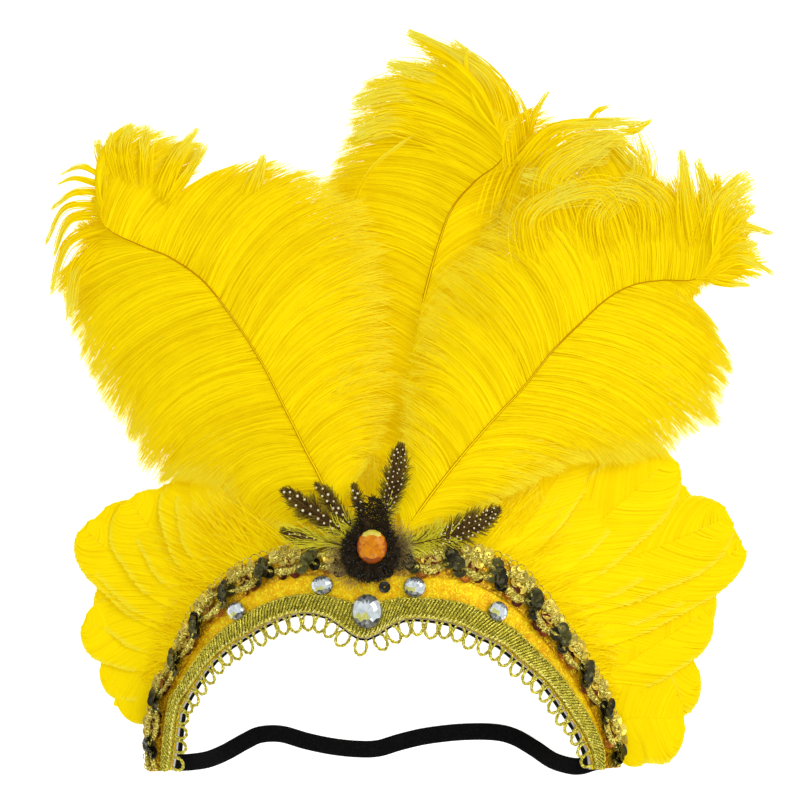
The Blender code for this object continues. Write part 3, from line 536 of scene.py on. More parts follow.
def evenly(part_of, part, spacing, start=0.0, end=BAND_END):
    """Stations a given distance apart along one line of the braid or trim."""
    fine = np.linspace(start, end, 1200)
    line = band_point(fine, part_of(fine, part), TAPE_TOP)
    run = run_along(np.linalg.norm(np.diff(line, axis=0), axis=1))
    count = max(2, int(round(run[-1] / spacing)) + 1)
    return np.interp(np.linspace(0, run[-1], count), run, fine)


def ripple(x, scale, rng):
    """Smooth noise from -1 to 1 along a line."""
    knots = rng.uniform(-1, 1, 2048)
    at = np.asarray(x, float) / scale
    i = np.floor(at).astype(int)
    f = at - i
    f = f * f * (3 - 2 * f)
    return knots[i % 2048] * (1 - f) + knots[(i + 1) % 2048] * f


def find_shift():
    """Where the part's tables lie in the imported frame, read from the amber stone's box."""
    low, high = (np.array(corner, float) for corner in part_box("amber_stone"))
    seat, face = band_seat(AMBER_X, AMBER_Y)
    return (low + high) / 2 / MM - (seat + face * (AMBER_SEAT + AMBER_RISE / 2))


SHIFT = find_shift()


def place(points):
    """Millimetres in the tables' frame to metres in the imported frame."""
    return (np.asarray(points, float) + SHIFT) * MM


# Materials

def feed(tree, socket, value):
    """Links a socket to another one, or gives it a constant."""
    if isinstance(value, bpy.types.NodeSocket):
        tree.links.new(value, socket)
    else:
        socket.default_value = value


def add(tree, kind, **settings):
    """A node whose inputs and settings are given by name, with underscores for spaces."""
    node = tree.nodes.new(kind)
    for key, value in settings.items():
        label = key.replace("_", " ")
        if label in node.inputs.keys():
            feed(tree, node.inputs[label], value)
        else:
            setattr(node, key, value)
    return node


def set_inputs(tree, shader, **values):
    for key, value in values.items():
        feed(tree, shader.inputs[key.replace("_", " ")], value)


def texture(tree, kind, **settings):
    """A texture that lies on the piece's own coordinates."""
    place_on = tree.nodes.new("ShaderNodeTexCoord").outputs["Object"]
    return add(tree, kind, Vector=place_on, **settings)


def feed_first(tree, node, *values):
    """Feeds a node's first inputs. Gives its first output."""
    for socket, value in zip(node.inputs, values):
        feed(tree, socket, value)
    return node.outputs[0]


def compute(tree, operation, *values):
    return feed_first(tree, add(tree, "ShaderNodeMath", operation=operation), *values)


def swing(tree, value, amount):
    """A value from 0 to 1 as a swing round zero."""
    return compute(tree, "MULTIPLY", compute(tree, "SUBTRACT", value, 0.5), amount)


def blend_color(tree, factor, a, b):
    node = add(tree, "ShaderNodeMix", data_type="RGBA")
    for i, value in ((0, factor), (6, a), (7, b)):
        feed(tree, node.inputs[i], value)
    return node.outputs[2]


def ramp(tree, factor, *stops):
    """A grey ramp. Each stop has its place and its value."""
    node = tree.nodes.new("ShaderNodeValToRGB")
    elements = node.color_ramp.elements
    while len(elements) < len(stops):
        elements.new(0.5)
    for element, (at, value) in zip(elements, stops):
        element.position = at
        element.color = (value, value, value, 1)
    return feed_first(tree, node, factor)


def new_group(name, colors, floats, *outputs):
    """A node group. Its first output is a colour and the others are values."""
    tree = bpy.data.node_groups.new(name, "ShaderNodeTree")
    for label in colors:
        tree.interface.new_socket(label, in_out="INPUT", socket_type="NodeSocketColor")
    for label in floats:
        tree.interface.new_socket(label, in_out="INPUT", socket_type="NodeSocketFloat")
    for label in ("Color", *outputs):
        kind = "NodeSocketColor" if label == "Color" else "NodeSocketFloat"
        tree.interface.new_socket(label, in_out="OUTPUT", socket_type=kind)
    return tree, tree.nodes.new("NodeGroupInput").outputs, tree.nodes.new("NodeGroupOutput")


def make_strand_group():
    """Colour and roughness of strands. The strand attribute holds a draw, the way along and the lock."""
    group, given, out = new_group(
        "strand_tint", ("Base", "Deep", "Tip"), ("Tip Start", "Variation"), "Roughness"
    )
    strand = add(group, "ShaderNodeAttribute", attribute_name="strand")
    draw, along, lock = add(group, "ShaderNodeSeparateColor", Color=strand.outputs["Color"]).outputs
    grime = texture(group, "ShaderNodeTexNoise", Scale=90.0, Detail=3.0)
    mixed = compute(group, "MULTIPLY", compute(group, "POWER", draw, 1.6), given["Variation"])
    mixed = compute(group, "ADD", mixed, swing(group, lock, 0.35))
    mixed = compute(group, "ADD", mixed, swing(group, grime.outputs[0], 0.5))
    body = blend_color(group, mixed, given["Base"], given["Deep"])
    late = add(group, "ShaderNodeMapRange", interpolation_type="SMOOTHSTEP")
    late = feed_first(group, late, along, given["Tip Start"], 1.0)
    rough = compute(group, "ADD", 0.5, compute(group, "MULTIPLY", draw, 0.3))
    set_inputs(group, out, Color=blend_color(group, late, body, given["Tip"]), Roughness=rough)
    return group


def make_glitter_group():
    """Metal thread or cloth that sparkles: cells of random brightness and tilt, whose brightest cells are
    painted glints.
    """
    group, given, out = new_group(
        "glitter", ("Dark", "Middle", "Bright"), ("Cell Scale", "Cloud Scale"), "Height", "Roughness"
    )
    cells = texture(group, "ShaderNodeTexVoronoi", Randomness=1.0, Scale=given["Cell Scale"])
    clouds = texture(group, "ShaderNodeTexNoise", Detail=3.0, Scale=given["Cloud Scale"])
    glint, height, gloss = add(group, "ShaderNodeSeparateColor", Color=cells.outputs["Color"]).outputs
    # Painted glints: the brightest cells blend to the Bright colour
    painted_glints = ramp(group, glint, (0.0, 0.0), (0.62, 0.25), (0.9, 1.0))
    shade = ramp(group, clouds.outputs[0], (0.32, 0.0), (0.6, 1.0))
    body = blend_color(group, shade, given["Dark"], given["Middle"])
    rough = compute(group, "ADD", 0.18, compute(group, "MULTIPLY", gloss, 0.3))
    set_inputs(
        group, out, Color=blend_color(group, painted_glints, body, given["Bright"]), Height=height, Roughness=rough
    )
    return group


def make_weave_group():
    """Crossed fine ribs, for elastic, felt and stiffener."""
    group, given, out = new_group("weave", ("Base", "Fleck"), ("Rib Scale",), "Height")
    ribs = texture(group, "ShaderNodeTexWave", Distortion=1.5, Detail=2.0, Scale=given["Rib Scale"])
    nap = texture(group, "ShaderNodeTexNoise", Scale=1400.0, Detail=4.0)
    flecks = ramp(group, nap.outputs[0], (0.5, 0.0), (0.72, 1.0))
    set_inputs(
        group, out, Color=blend_color(group, flecks, given["Base"], given["Fleck"]),
        Height=compute(group, "ADD", ribs.outputs[0], nap.outputs[0]),
    )
    return group


STRAND_TINT = make_strand_group()
GLITTER = make_glitter_group()
WEAVE = make_weave_group()


def new_material(name):
    made = bpy.data.materials.new(name)
    made.use_nodes = True
    tree = made.node_tree
    return made, tree, tree.nodes["Principled BSDF"]


def bump(tree, height, distance):
    return add(tree, "ShaderNodeBump", Strength=1.0, Distance=distance, Height=height).outputs[0]


def strand_material(name, base, deep, tip, tip_start, variation, glow=0.0):
    """Strands so thin that light comes through them, which glow stands for."""
    made, tree, shader = new_material(name)
    tint = add(
        tree, "ShaderNodeGroup", node_tree=STRAND_TINT, Base=(*base, 1), Deep=(*deep, 1), Tip=(*tip, 1),
        Tip_Start=tip_start, Variation=variation,
    ).outputs
    set_inputs(
        tree, shader, Base_Color=tint["Color"], Roughness=tint["Roughness"], Emission_Color=tint["Color"],
        Emission_Strength=glow, Specular_IOR_Level=0.03,
    )
    return made


def glitter_material(name, dark, middle, bright, cell, cloud, metallic, depth):
    made, tree, shader = new_material(name)
    sparkle = add(
        tree, "ShaderNodeGroup", node_tree=GLITTER, Dark=(*dark, 1), Middle=(*middle, 1), Bright=(*bright, 1),
        Cell_Scale=cell, Cloud_Scale=cloud,
    ).outputs
    set_inputs(
        tree, shader, Base_Color=sparkle["Color"], Roughness=sparkle["Roughness"], Metallic=metallic,
        Specular_IOR_Level=0.15, Normal=bump(tree, sparkle["Height"], depth),
    )
    return made


def weave_material(name, base, fleck, scale, roughness):
    made, tree, shader = new_material(name)
    cloth = add(
        tree, "ShaderNodeGroup", node_tree=WEAVE, Base=(*base, 1), Fleck=(*fleck, 1), Rib_Scale=scale
    ).outputs
    set_inputs(
        tree, shader, Base_Color=cloth["Color"], Roughness=roughness, Specular_IOR_Level=0.1,
        Normal=bump(tree, cloth["Height"], 0.00015),
    )
    return made


def gloss_material(name, roughness, metallic, coat):
    """Glossy pieces whose colour is drawn once for each piece or facet, in the strand attribute."""
    made, tree, shader = new_material(name)
    tint = add(tree, "ShaderNodeAttribute", attribute_name="strand")
    scuffs = texture(tree, "ShaderNodeTexNoise", Scale=700.0, Detail=3.0)
    worn = ramp(tree, scuffs.outputs[0], (0.35, roughness * 0.6), (0.75, roughness * 1.8))
    set_inputs(
        tree, shader, Base_Color=tint.outputs["Color"], Roughness=worn, Metallic=metallic, Coat_Weight=coat,
        Coat_Roughness=0.04, Specular_IOR_Level=0.5 * max(coat, 0.3),
    )
    return made


YELLOW = (0.76, 0.585, 0.0)
YELLOW_DEEP = (0.6, 0.4, 0.0)
# The tip colours, a touch more olive than the yellow, are painted light: they stand for light coming through
# the thin barb ends
YELLOW_TIP = (0.72, 0.6, 0.02)
FEATHER_GLOW = 0.24

plume_finish = strand_material("yellow_plume", YELLOW, YELLOW_DEEP, YELLOW_TIP, 0.8, 0.6, FEATHER_GLOW)
wisp_finish = strand_material("plume_wisps", YELLOW, YELLOW_DEEP, (0.68, 0.61, 0.05), 0.55, 0.6, FEATHER_GLOW)
vane_finish = strand_material("yellow_vane", YELLOW, (0.68, 0.48, 0.0), YELLOW_TIP, 0.85, 0.35, FEATHER_GLOW)
quill_finish = strand_material(
    "plume_quill", (0.5, 0.24, 0.0), (0.34, 0.12, 0.0), (0.46, 0.22, 0.0), 0.4, 0.5, 0.1
)
guinea_finish = strand_material(
    "guinea_brown", (0.08, 0.042, 0.009), (0.016, 0.009, 0.004), (0.24, 0.18, 0.01), 0.62, 0.8
)
down_finish = strand_material(
    "olive_down", (0.55, 0.48, 0.02), (0.14, 0.1, 0.01), (0.62, 0.56, 0.03), 0.5, 1.0, 0.1
)
spot_finish = strand_material(
    "guinea_spots", (0.74, 0.66, 0.42), (0.5, 0.42, 0.24), (0.82, 0.76, 0.56), 0.7, 0.5
)
fluff_finish = strand_material(
    "rosette_fluff", (0.14, 0.09, 0.03), (0.04, 0.025, 0.01), (0.34, 0.26, 0.1), 0.6, 0.8
)
pile_finish = strand_material(
    "rosette_pile", (0.014, 0.011, 0.006), (0.05, 0.03, 0.014), (0.02, 0.02, 0.01), 0.6, 0.9
)
braid_finish = glitter_material(
    "gold_braid", (0.13, 0.1, 0.004), (0.42, 0.35, 0.012), (0.92, 0.84, 0.14), 2200.0, 400.0, 0.7, 0.0002
)
wave_finish = glitter_material(
    "gold_wave", (0.08, 0.035, 0.0), (0.47, 0.33, 0.0), (1.0, 0.93, 0.26), 1700.0, 700.0, 0.6, 0.0003
)
# The edge stitches' paler, brighter gold than the braid's is a painted highlight along the braid's lower edge
stitch_finish = glitter_material(
    "gold_stitches", (0.45, 0.36, 0.02), (0.75, 0.66, 0.06), (1.0, 0.95, 0.4), 1500.0, 500.0, 0.6, 0.0002
)
brocade_finish = glitter_material(
    "brocade", (0.78, 0.32, 0.0), (0.95, 0.57, 0.0), (1.0, 0.82, 0.015), 1300.0, 170.0, 0.3, 0.0003
)
# A darker copy of the brocade under the sequins and waves: partly the trim's own brown-red, partly painted
# shade cast by the trim
shaded_brocade_finish = glitter_material(
    "trim_ground_painted_shade", (0.12, 0.02, 0.0), (0.5, 0.22, 0.0), (0.9, 0.6, 0.02), 1300.0, 260.0, 0.3, 0.0003
)
felt_finish = weave_material("felt", (0.006, 0.006, 0.007), (0.03, 0.03, 0.033), 500.0, 0.95)
core_finish = weave_material("stiffener", (0.72, 0.69, 0.62), (0.5, 0.47, 0.4), 700.0, 0.9)
elastic_finish = weave_material("elastic", (0.0022, 0.0022, 0.0028), (0.011, 0.011, 0.012), 1600.0, 0.85)
sequin_finish = gloss_material("sequins", 0.24, 0.6, 0.1)
stone_finish = gloss_material("clear_stone", 0.06, 0.35, 1.0)
amber_finish = gloss_material("amber", 0.08, 0.0, 0.12)
bead_finish = gloss_material("rosette_beads", 0.3, 0.1, 0.2)


# Meshes. A shape is a set of points, faces and strand values, which may be None

def put(name, data, spot=(0, 0, 0)):
    """A new object in the scene."""
    made = bpy.data.objects.new(name, data)
    made.location = spot
    bpy.context.scene.collection.objects.link(made)
    return made


def new_piece(name, shape, material, smooth=False):
    """A joined mesh from points in millimetres and faces with one number of corners."""
    points, faces, strand = shape
    points = place(points)
    faces = np.asarray(faces, np.int32)
    mesh = bpy.data.meshes.new(name)
    mesh.vertices.add(len(points))
    mesh.vertices.foreach_set("co", points.astype(np.float32).ravel())
    mesh.loops.add(faces.size)
    mesh.loops.foreach_set("vertex_index", faces.ravel())
    mesh.polygons.add(len(faces))
    mesh.polygons.foreach_set("loop_start", np.arange(0, faces.size, faces.shape[1], dtype=np.int32))
    mesh.polygons.foreach_set("use_smooth", np.full(len(faces), smooth))
    mesh.update(calc_edges=True)
    if strand is not None:
        colors = np.concatenate([np.clip(strand, 0, 1), np.ones((len(strand), 1))], axis=1)
        layer = mesh.attributes.new("strand", "FLOAT_COLOR", "POINT")
        layer.data.foreach_set("color", colors.astype(np.float32).ravel())
    mesh.materials.append(material)
    obj = put(name, mesh)
    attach(obj, "root")
    return obj


def grid_shape(grid, tint=None):
    """Quads over a grid of points, with one colour or none."""
    rows, columns = grid.shape[:2]
    at = np.arange(rows - 1)[:, None] * columns + np.arange(columns - 1)[None, :]
    faces = np.stack([at, at + 1, at + columns + 1, at + columns], -1).reshape(-1, 4)
    points = grid.reshape(-1, 3)
    return points, faces, None if tint is None else np.broadcast_to(tint, points.shape)


def ring_faces(rings, sides):
    """Quads between closed rings of points."""
    at = np.arange(rings - 1)[:, None] * sides
    k = np.arange(sides)[None, :]
    following = (k + 1) % sides
    return np.stack([at + k, at + following, at + sides + following, at + sides + k], -1).reshape(-1, 4)


def ribbons(lines, widths, up, draws, locks):
    """Flat strands along lines (strands, steps, 3)."""
    count, steps, _ = lines.shape
    side = unit(np.cross(unit(np.gradient(lines, axis=1)), up))
    half = side * widths[..., None] / 2
    points = np.stack([lines - half, lines + half], 2).reshape(-1, 3)
    at = np.arange(count)[:, None] * steps * 2 + np.arange(steps - 1)[None, :] * 2
    faces = np.stack([at, at + 1, at + 3, at + 2], -1).reshape(-1, 4)
    columns = (draws[:, None, None], np.linspace(0, 1, steps)[None, :, None], locks[:, None, None])
    strand = np.stack([np.broadcast_to(column, (count, steps, 2)) for column in columns], -1)
    return points, faces, strand.reshape(-1, 3)


def along_strands(steps):
    return np.linspace(0, 1, steps)[None, :]


def tilted_up(count, spread, rng):
    """Ways out of a flat strand, near +Z, one for each strand."""
    tilt = rng.uniform(-spread, spread, (count, 2))
    return unit(np.concatenate([tilt, np.ones((count, 1))], 1))[:, None, :]


def random_ribbons(lines, widths, uneven, spread, rng, locks=(0, 1)):
    """Ribbons of random widths, tilts and draws. locks holds their values, or the span of random ones."""
    n = len(lines)
    widths = widths * rng.uniform(*uneven, (n, 1))
    up = tilted_up(n, spread, rng)
    draws = rng.uniform(0, 1, n)
    return ribbons(lines, widths, up, draws, rng.uniform(*locks, n) if isinstance(locks, tuple) else locks)


def joined(shapes):
    """Several shapes as one."""
    points, faces, strands = zip(*shapes)
    bases = np.cumsum([0] + [len(some) for some in points])
    faces = [some + base for some, base in zip(faces, bases)]
    return np.concatenate(points), np.concatenate(faces), np.concatenate(strands)


def tube(line, radii, sides, draw=0.5):
    """A round tube along a line of points. radii is one number or one for each point."""
    line = np.asarray(line, float)
    run = unit(np.gradient(line, axis=0))
    first = unit(np.cross(run, np.array([0.13, 0.27, 1.0])))
    second = np.cross(run, first)
    turn = np.linspace(0, 2 * math.pi, sides, endpoint=False)
    ring = first[:, None, :] * np.cos(turn)[None, :, None] + second[:, None, :] * np.sin(turn)[None, :, None]
    points = (line[:, None, :] + ring * np.asarray(radii, float).reshape(-1, 1, 1)).reshape(-1, 3)
    along = np.repeat(np.linspace(0, 1, len(line)), sides)
    strand = np.stack([np.full_like(along, draw), along, np.full_like(along, draw)], -1)
    return points, ring_faces(len(line), sides), strand


# Ostrich plumes

def barb_lines(rows, t, side, shear, s, lengths, bow):
    """Middle lines of barbs. shear moves each barb's outer part along the plume, in rows."""
    root = spline(rows, t)[:, None, 0:3]
    reach = spline(rows, t[:, None] + shear[:, None] * s ** 1.4)
    tip = reach[..., 3:6] if side < 0 else reach[..., 6:9]
    chord = tip - root
    turn = 1.0 if side < 0 else -1.0
    forward = np.stack([chord[..., 1] * turn, -chord[..., 0] * turn, np.zeros_like(chord[..., 0])], -1)
    s = s * lengths[:, None]
    line = root + chord * s[..., None] + forward * (4 * bow[:, None] * s * (1 - s))[..., None]
    line[..., 2] = root[..., 2] + (tip[..., 2] - root[..., 2]) * s ** BARB_DROOP
    return line


def spread_on_plume(rows, side, count, rng):
    """Places on the quill, spread by the room for barbs, the outline's run there and rows to a millimetre."""
    fine = np.linspace(0, len(rows) - 1, 600)
    at = spline(rows, fine)
    tips = at[:, 3:6] if side < 0 else at[:, 6:9]
    quill_run = np.linalg.norm(np.diff(at[:, 0:3], axis=0), axis=1)
    tip_run = np.linalg.norm(np.diff(tips, axis=0), axis=1)
    run = run_along(quill_run + 0.7 * tip_run)
    t = np.interp(rng.uniform(0, run[-1], count), run, fine)
    tip_at = np.interp(t, fine, run_along(tip_run))
    return t, tip_at, 1 / np.maximum(np.interp(t, fine[:-1], tip_run / np.diff(fine)), 4.0)


def curled_ends(rows, t, side, curl, s):
    """How far the outer third of each barb bends along the plume's outline, and back toward the quill."""
    tips = slice(3, 5) if side < 0 else slice(6, 8)
    along = unit(spline(rows, t + 0.05)[:, tips] - spline(rows, t - 0.05)[:, tips])
    here = spline(rows, t)
    inward = unit(here[:, 0:2] - here[:, tips])
    bend = np.clip((s - 0.58) / 0.42, 0, 1) ** 2
    flat = along[:, None, :] * (curl[:, None] * bend)[..., None]
    return flat + inward[:, None, :] * (0.4 * np.abs(curl)[:, None] * bend ** 1.5)[..., None]


def plume_barbs(name, rows, count, rng):
    n = count // 2
    s = along_strands(BARB_STEPS)
    parts = []
    for side in (-1, 1):
        t, tip_at, rows_per_mm = spread_on_plume(rows, side, n, rng)
        wide_lock = ripple(tip_at, 11.0, rng)
        fine_lock = ripple(tip_at, 3.2, rng)
        shear = (3.6 * ripple(tip_at, 9.0, rng) + 1.3 * fine_lock + rng.normal(0, 0.9, n)) * rows_per_mm
        lengths = 1.0 + 0.035 * wide_lock + 0.03 * fine_lock + rng.normal(0, 0.02, n)
        lengths -= 0.55 * rng.uniform(0, 1, n) ** 5
        for plume, its_side, first, last, kept, uneven in EDGE_STRETCHES:
            if (plume, its_side) == (name, side):
                inside = np.clip(np.minimum(t - first, last - t) / 0.4, 0, 1)
                lengths *= 1 + (kept - 1) * inside
                lengths *= 1 - uneven * inside * rng.uniform(0, 1, n) ** 1.6
        lengths = np.clip(lengths, 0.25, 1.15)
        bow = BARB_BOW * (1 + 0.25 * ripple(tip_at, 14.0, rng)) + rng.normal(0, 0.012, n)
        lines = barb_lines(rows, t, side, shear, s, lengths, bow)
        thick = PLUME_THICK + (PLUME_EDGE_THICK - PLUME_THICK) * s ** PLUME_TAPER
        layer = rng.uniform(-1, 1, n)[:, None]
        lines[..., 2] += layer * thick / 2 + (0.9 * wide_lock + 0.45 * fine_lock)[:, None] * s ** 0.7
        curl = 4.6 * ripple(tip_at, 17.0, rng) + 1.2 * fine_lock + rng.normal(0, 0.9, n)
        lines[..., :2] += curled_ends(rows, t, side, curl, s)
        lines[..., 2] = np.maximum(lines[..., 2], 0.5)
        widths = (0.48 + 0.36 * np.sin(math.pi * np.clip(s * 1.1, 0, 1))) * (1 - 0.78 * s ** 4)
        parts.append(random_ribbons(lines, widths, (0.7, 1.25), 0.55, rng, 0.5 + 0.5 * wide_lock))
    return joined(parts)


def loose_locks(table, rng):
    """Strands that rise out of a plume one after another and gather toward the end of each lock."""
    s = along_strands(LOCK_STEPS)
    parts = []
    for row in table:
        flat = np.array(row[0:6]).reshape(3, 2)
        start_z, end_z, start_spread, end_spread, n = row[6:]
        begin = 0.4 * rng.uniform(0, 1, (n, 1)) ** 1.3
        stop = 1 - 0.42 * rng.uniform(0, 1, (n, 1)) ** 1.4
        q = begin + (stop - begin) * s
        run = unit(spline(flat, 2 * q + 0.02) - spline(flat, 2 * q - 0.02))
        way = np.stack([run[..., 1], -run[..., 0]], -1)
        place_in = rng.normal(0, 0.62, (n, 1))
        swell = start_spread + (end_spread - start_spread) * q ** 1.2
        sway = np.stack([ripple(q[k] * 2.2 + k * 7.3, 1.0, rng) for k in range(n)]) * (1.0 + 1.6 * q)
        aside = place_in * swell / 2 + sway * min(1.0, end_spread / 2 + 0.15)
        rise = 1.5 * np.sin(math.pi * q) - ROOT_SINK * (1 - s) ** 2
        height = start_z + (end_z - start_z) * q + rise + rng.uniform(-1.2, 1.2, (n, 1))
        lines = np.concatenate([spline(flat, 2 * q) + way * aside[..., None], height[..., None]], -1)
        widths = (0.6 - 0.4 * s ** 2) * np.clip(0.2 + 5 * s, 0, 1)
        parts.append(random_ribbons(lines, widths, (0.7, 1.2), 0.55, rng, (0.2, 0.8)))
    return joined(parts)


def make_plumes():
    for name, rows, locks, count, seed, bare in PLUMES:
        rng = np.random.default_rng(seed)
        barbs = plume_barbs(name, rows, count, rng)
        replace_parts(new_piece(name + "_barbs", barbs, plume_finish), name)
        new_piece(name + "_locks", loose_locks(locks, rng), wisp_finish)
        line = spline(rows, np.linspace(*bare, QUILL_POINTS))[:, 0:3]
        s = np.linspace(0, 1, QUILL_POINTS)
        line[:, 2] += QUILL_LIFT * np.minimum(1, s / QUILL_COMES_UP)
        quill = tube(line, QUILL_ROOT_RADIUS - QUILL_THINNING * s ** 0.8, 6, 0.4)
        new_piece(name + "_quill", quill, quill_finish, smooth=True)
        # A pale strip along the quill's top, in the plume's yellow: a painted highlight
        painted_highlight = line[:PAINTED_HIGHLIGHT_POINTS] + np.array([0, 0, 0.62])
        painted_highlight = tube(painted_highlight, np.linspace(0.42, 0.1, PAINTED_HIGHLIGHT_POINTS), 5, 0.1)
        new_piece(name + "_quill_painted_highlight", painted_highlight, plume_finish, smooth=True)


# Flat side feathers

def hermite(start, start_slope, end, end_slope, u):
    return (
        (2 * u ** 3 - 3 * u * u + 1) * start
        + (u ** 3 - 2 * u * u + u) * start_slope
        + (3 * u * u - 2 * u ** 3) * end
        + (u ** 3 - u * u) * end_slope
    )


class Vane:
    """The middle line and the ways across one flat feather."""

    def __init__(self, station, tip_x, tip_y, width, tip_z, curl):
        self.edge = band_point(station, 1.01, QUILL_LAYER)
        self.tip = np.array([tip_x, tip_y, tip_z])
        self.width, self.curl = width, curl
        row = spline(BAND_SECTIONS, station)
        out = unit(np.array([row[2] - row[0], row[3] - row[1]]))
        self.length = np.linalg.norm(self.tip[:2] - self.edge[:2])
        face = band_normal(self.edge[0:1])[0]
        fall = max(-out[0] * face[0] / face[2] * self.length, 3 * (tip_z - self.edge[2]))
        self.start_slope = np.array([*(out * self.length), fall])
        self.end_slope = np.array([*(self.tip - self.edge)[:2], 0.0])
        self.way_at_edge = unit(band_point(station + 0.05, 1.01, QUILL_LAYER) - self.edge)

    def middle(self, u):
        return hermite(self.edge, self.start_slope, self.tip, self.end_slope, u[..., None])

    def across(self, u):
        run = self.middle(u + 0.01) - self.middle(u - 0.01)
        run[..., 2] = 0
        run = unit(run)
        flat = np.stack([run[..., 1], -run[..., 0], np.zeros_like(run[..., 0])], -1)
        flat = flat * np.where((flat * self.way_at_edge).sum(-1) < 0, -1.0, 1.0)[..., None]
        part = np.clip(u / 0.5, 0, 1)[..., None]
        return unit(self.way_at_edge * (1 - part) + flat * part)

    def point(self, u, across):
        grown = np.clip(u / 0.45, 0, 1)
        narrowing = np.clip((u - VANE_ROUND_FROM) / (1.01 - VANE_ROUND_FROM), 0, 1)
        half = self.width / 2 * (0.3 + 0.7 * grown * (2 - grown)) * np.sqrt(1 - narrowing ** 2)
        spot = self.middle(u) + self.across(u) * (half * across)[..., None]
        spot[..., 2] -= self.curl * across ** 2 * np.clip(u / 0.5, 0, 1)
        return spot


def vane_barbs(vane, rng):
    n = VANE_BARBS // 2
    s = along_strands(VANE_STEPS)
    parts = []
    for side in (-1, 1):
        u = rng.uniform(0.0, 1.0, n) ** 0.85 * 0.97
        lock = ripple(u * vane.length, 6.0, rng)
        fine = ripple(u * vane.length, 1.6, rng)
        ahead = 0.20 + 0.12 * (1 - u) + 0.012 * lock + 0.006 * fine + rng.normal(0, 0.006, n)
        ahead = np.where(u + ahead > 1.005, np.maximum(1.005 - u, 0.02), ahead)
        reach = np.clip(1 + 0.012 * lock + 0.012 * fine + rng.normal(0, 0.012, n), 0.5, 1.06)
        lines = vane.point(u[:, None] + ahead[:, None] * s ** 1.15, side * reach[:, None] * s)
        lines[..., 2] += rng.uniform(-0.3, 0.3, (n, 1)) + (0.15 * lock)[:, None] * s
        lines[..., 2] = np.maximum(lines[..., 2], 0.4)
        parts.append(random_ribbons(lines, 1.3 - 0.9 * s ** 2.5, (0.8, 1.2), 0.16, rng, 0.5 + 0.5 * lock))
    # The closed web under the barbs, which keeps the table from showing between them
    web = vane.point(*np.meshgrid(np.linspace(0, 1, 26), np.linspace(-0.99, 0.99, 13), indexing="ij"))
    web[..., 2] = np.maximum(web[..., 2] - 0.45, 0.3)
    return joined(parts + [grid_shape(web, (0.3, 0.4, 0.5))])


def make_side_feathers():
    for i, (name, *row) in enumerate(SIDE_FEATHERS):
        rng = np.random.default_rng(VANE_SEED + i)
        shape = Vane(*row)
        sets = [vane_barbs(shape, rng)]
        sets += [vane_barbs(Vane(*lower), rng) for upper, *lower in LOWER_FEATHERS if upper == name]
        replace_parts(new_piece(name + "_vane", joined(sets), vane_finish), name)
        shaft = shape.middle(np.linspace(0.0, 0.9, 24))
        shaft[:, 2] += 0.3
        shaft = tube(shaft, np.linspace(0.4, 0.12, 24), 5, 0.3)
        new_piece(name + "_shaft", shaft, vane_finish, smooth=True)


def root_length(station, lengths):
    """The first length where the plumes start, and the second beside them."""
    return np.where(np.abs(station - PLUMES_MIDDLE) < PLUMES_REACH, *lengths)


def way_out(station):
    row = spline(BAND_SECTIONS, station)
    return unit(row[:, 2:4] - row[:, 0:2])


def make_root_web():
    """The closed layer of feather roots behind the band's upper edge."""
    stations, outs = np.linspace(*WEB_STATIONS, 90), np.linspace(0, 1, 8)
    root = band_point(stations, ROOT_PART, QUILL_LAYER)
    length = root_length(stations, WEB_LENGTHS)
    length = np.convolve(np.pad(length, 6, mode="edge"), np.ones(13) / 13, mode="valid")
    flat = root[:, None, :2] + way_out(stations)[:, None, :] * (length[:, None] * outs)[..., None]
    drop = 0.36 + 0.3 * np.abs(root[:, 0:1] - MIDDLE_X) / HALF_SPAN
    height = np.maximum(root[:, 2:3] - drop * length[:, None] * outs - 2.2 * outs, 0.4)
    grid = np.concatenate([flat, height[..., None]], -1)
    new_piece("root_web", grid_shape(grid, 0.4), vane_finish, smooth=True)


def make_root_down():
    """Short downy barbs that fill the roots of the plumes over the band's upper edge."""
    rng = np.random.default_rng(DOWN_SEED)
    n = DOWN_COUNT
    station = rng.uniform(*DOWN_STATIONS, n)
    root = band_point(station, ROOT_PART, QUILL_LAYER + 0.4)
    out = way_out(station)
    turn = rng.normal(0, 0.33, n)
    cosine, sine = np.cos(turn), np.sin(turn)
    way = np.stack([out[:, 0] * cosine - out[:, 1] * sine, out[:, 0] * sine + out[:, 1] * cosine], -1)
    length = rng.uniform(18, 46, n) * root_length(station, (1.0, 0.55))
    s = along_strands(DOWN_STEPS)
    lines = np.empty((n, s.size, 3))
    lines[..., :2] = root[:, None, :2] + way[:, None, :] * (length[:, None] * s)[..., None]
    bend = rng.normal(0, 5.0, (n, 1)) * s ** 2
    lines[..., 0] += -way[:, 1:2] * bend
    lines[..., 1] += way[:, 0:1] * bend
    drop = 0.30 + 0.35 * np.abs(root[:, 0:1] - MIDDLE_X) / HALF_SPAN
    height = root[:, None, 2] - drop * length[:, None] * s ** 1.2 + rng.uniform(-3.0, -0.5, (n, 1)) * s
    lines[..., 2] = np.maximum(height, 0.5)
    down = random_ribbons(lines, 0.75 - 0.5 * s, (0.7, 1.2), 0.5, rng)
    new_piece("root_down", down, plume_finish)


# Spotted feathers and the rosette

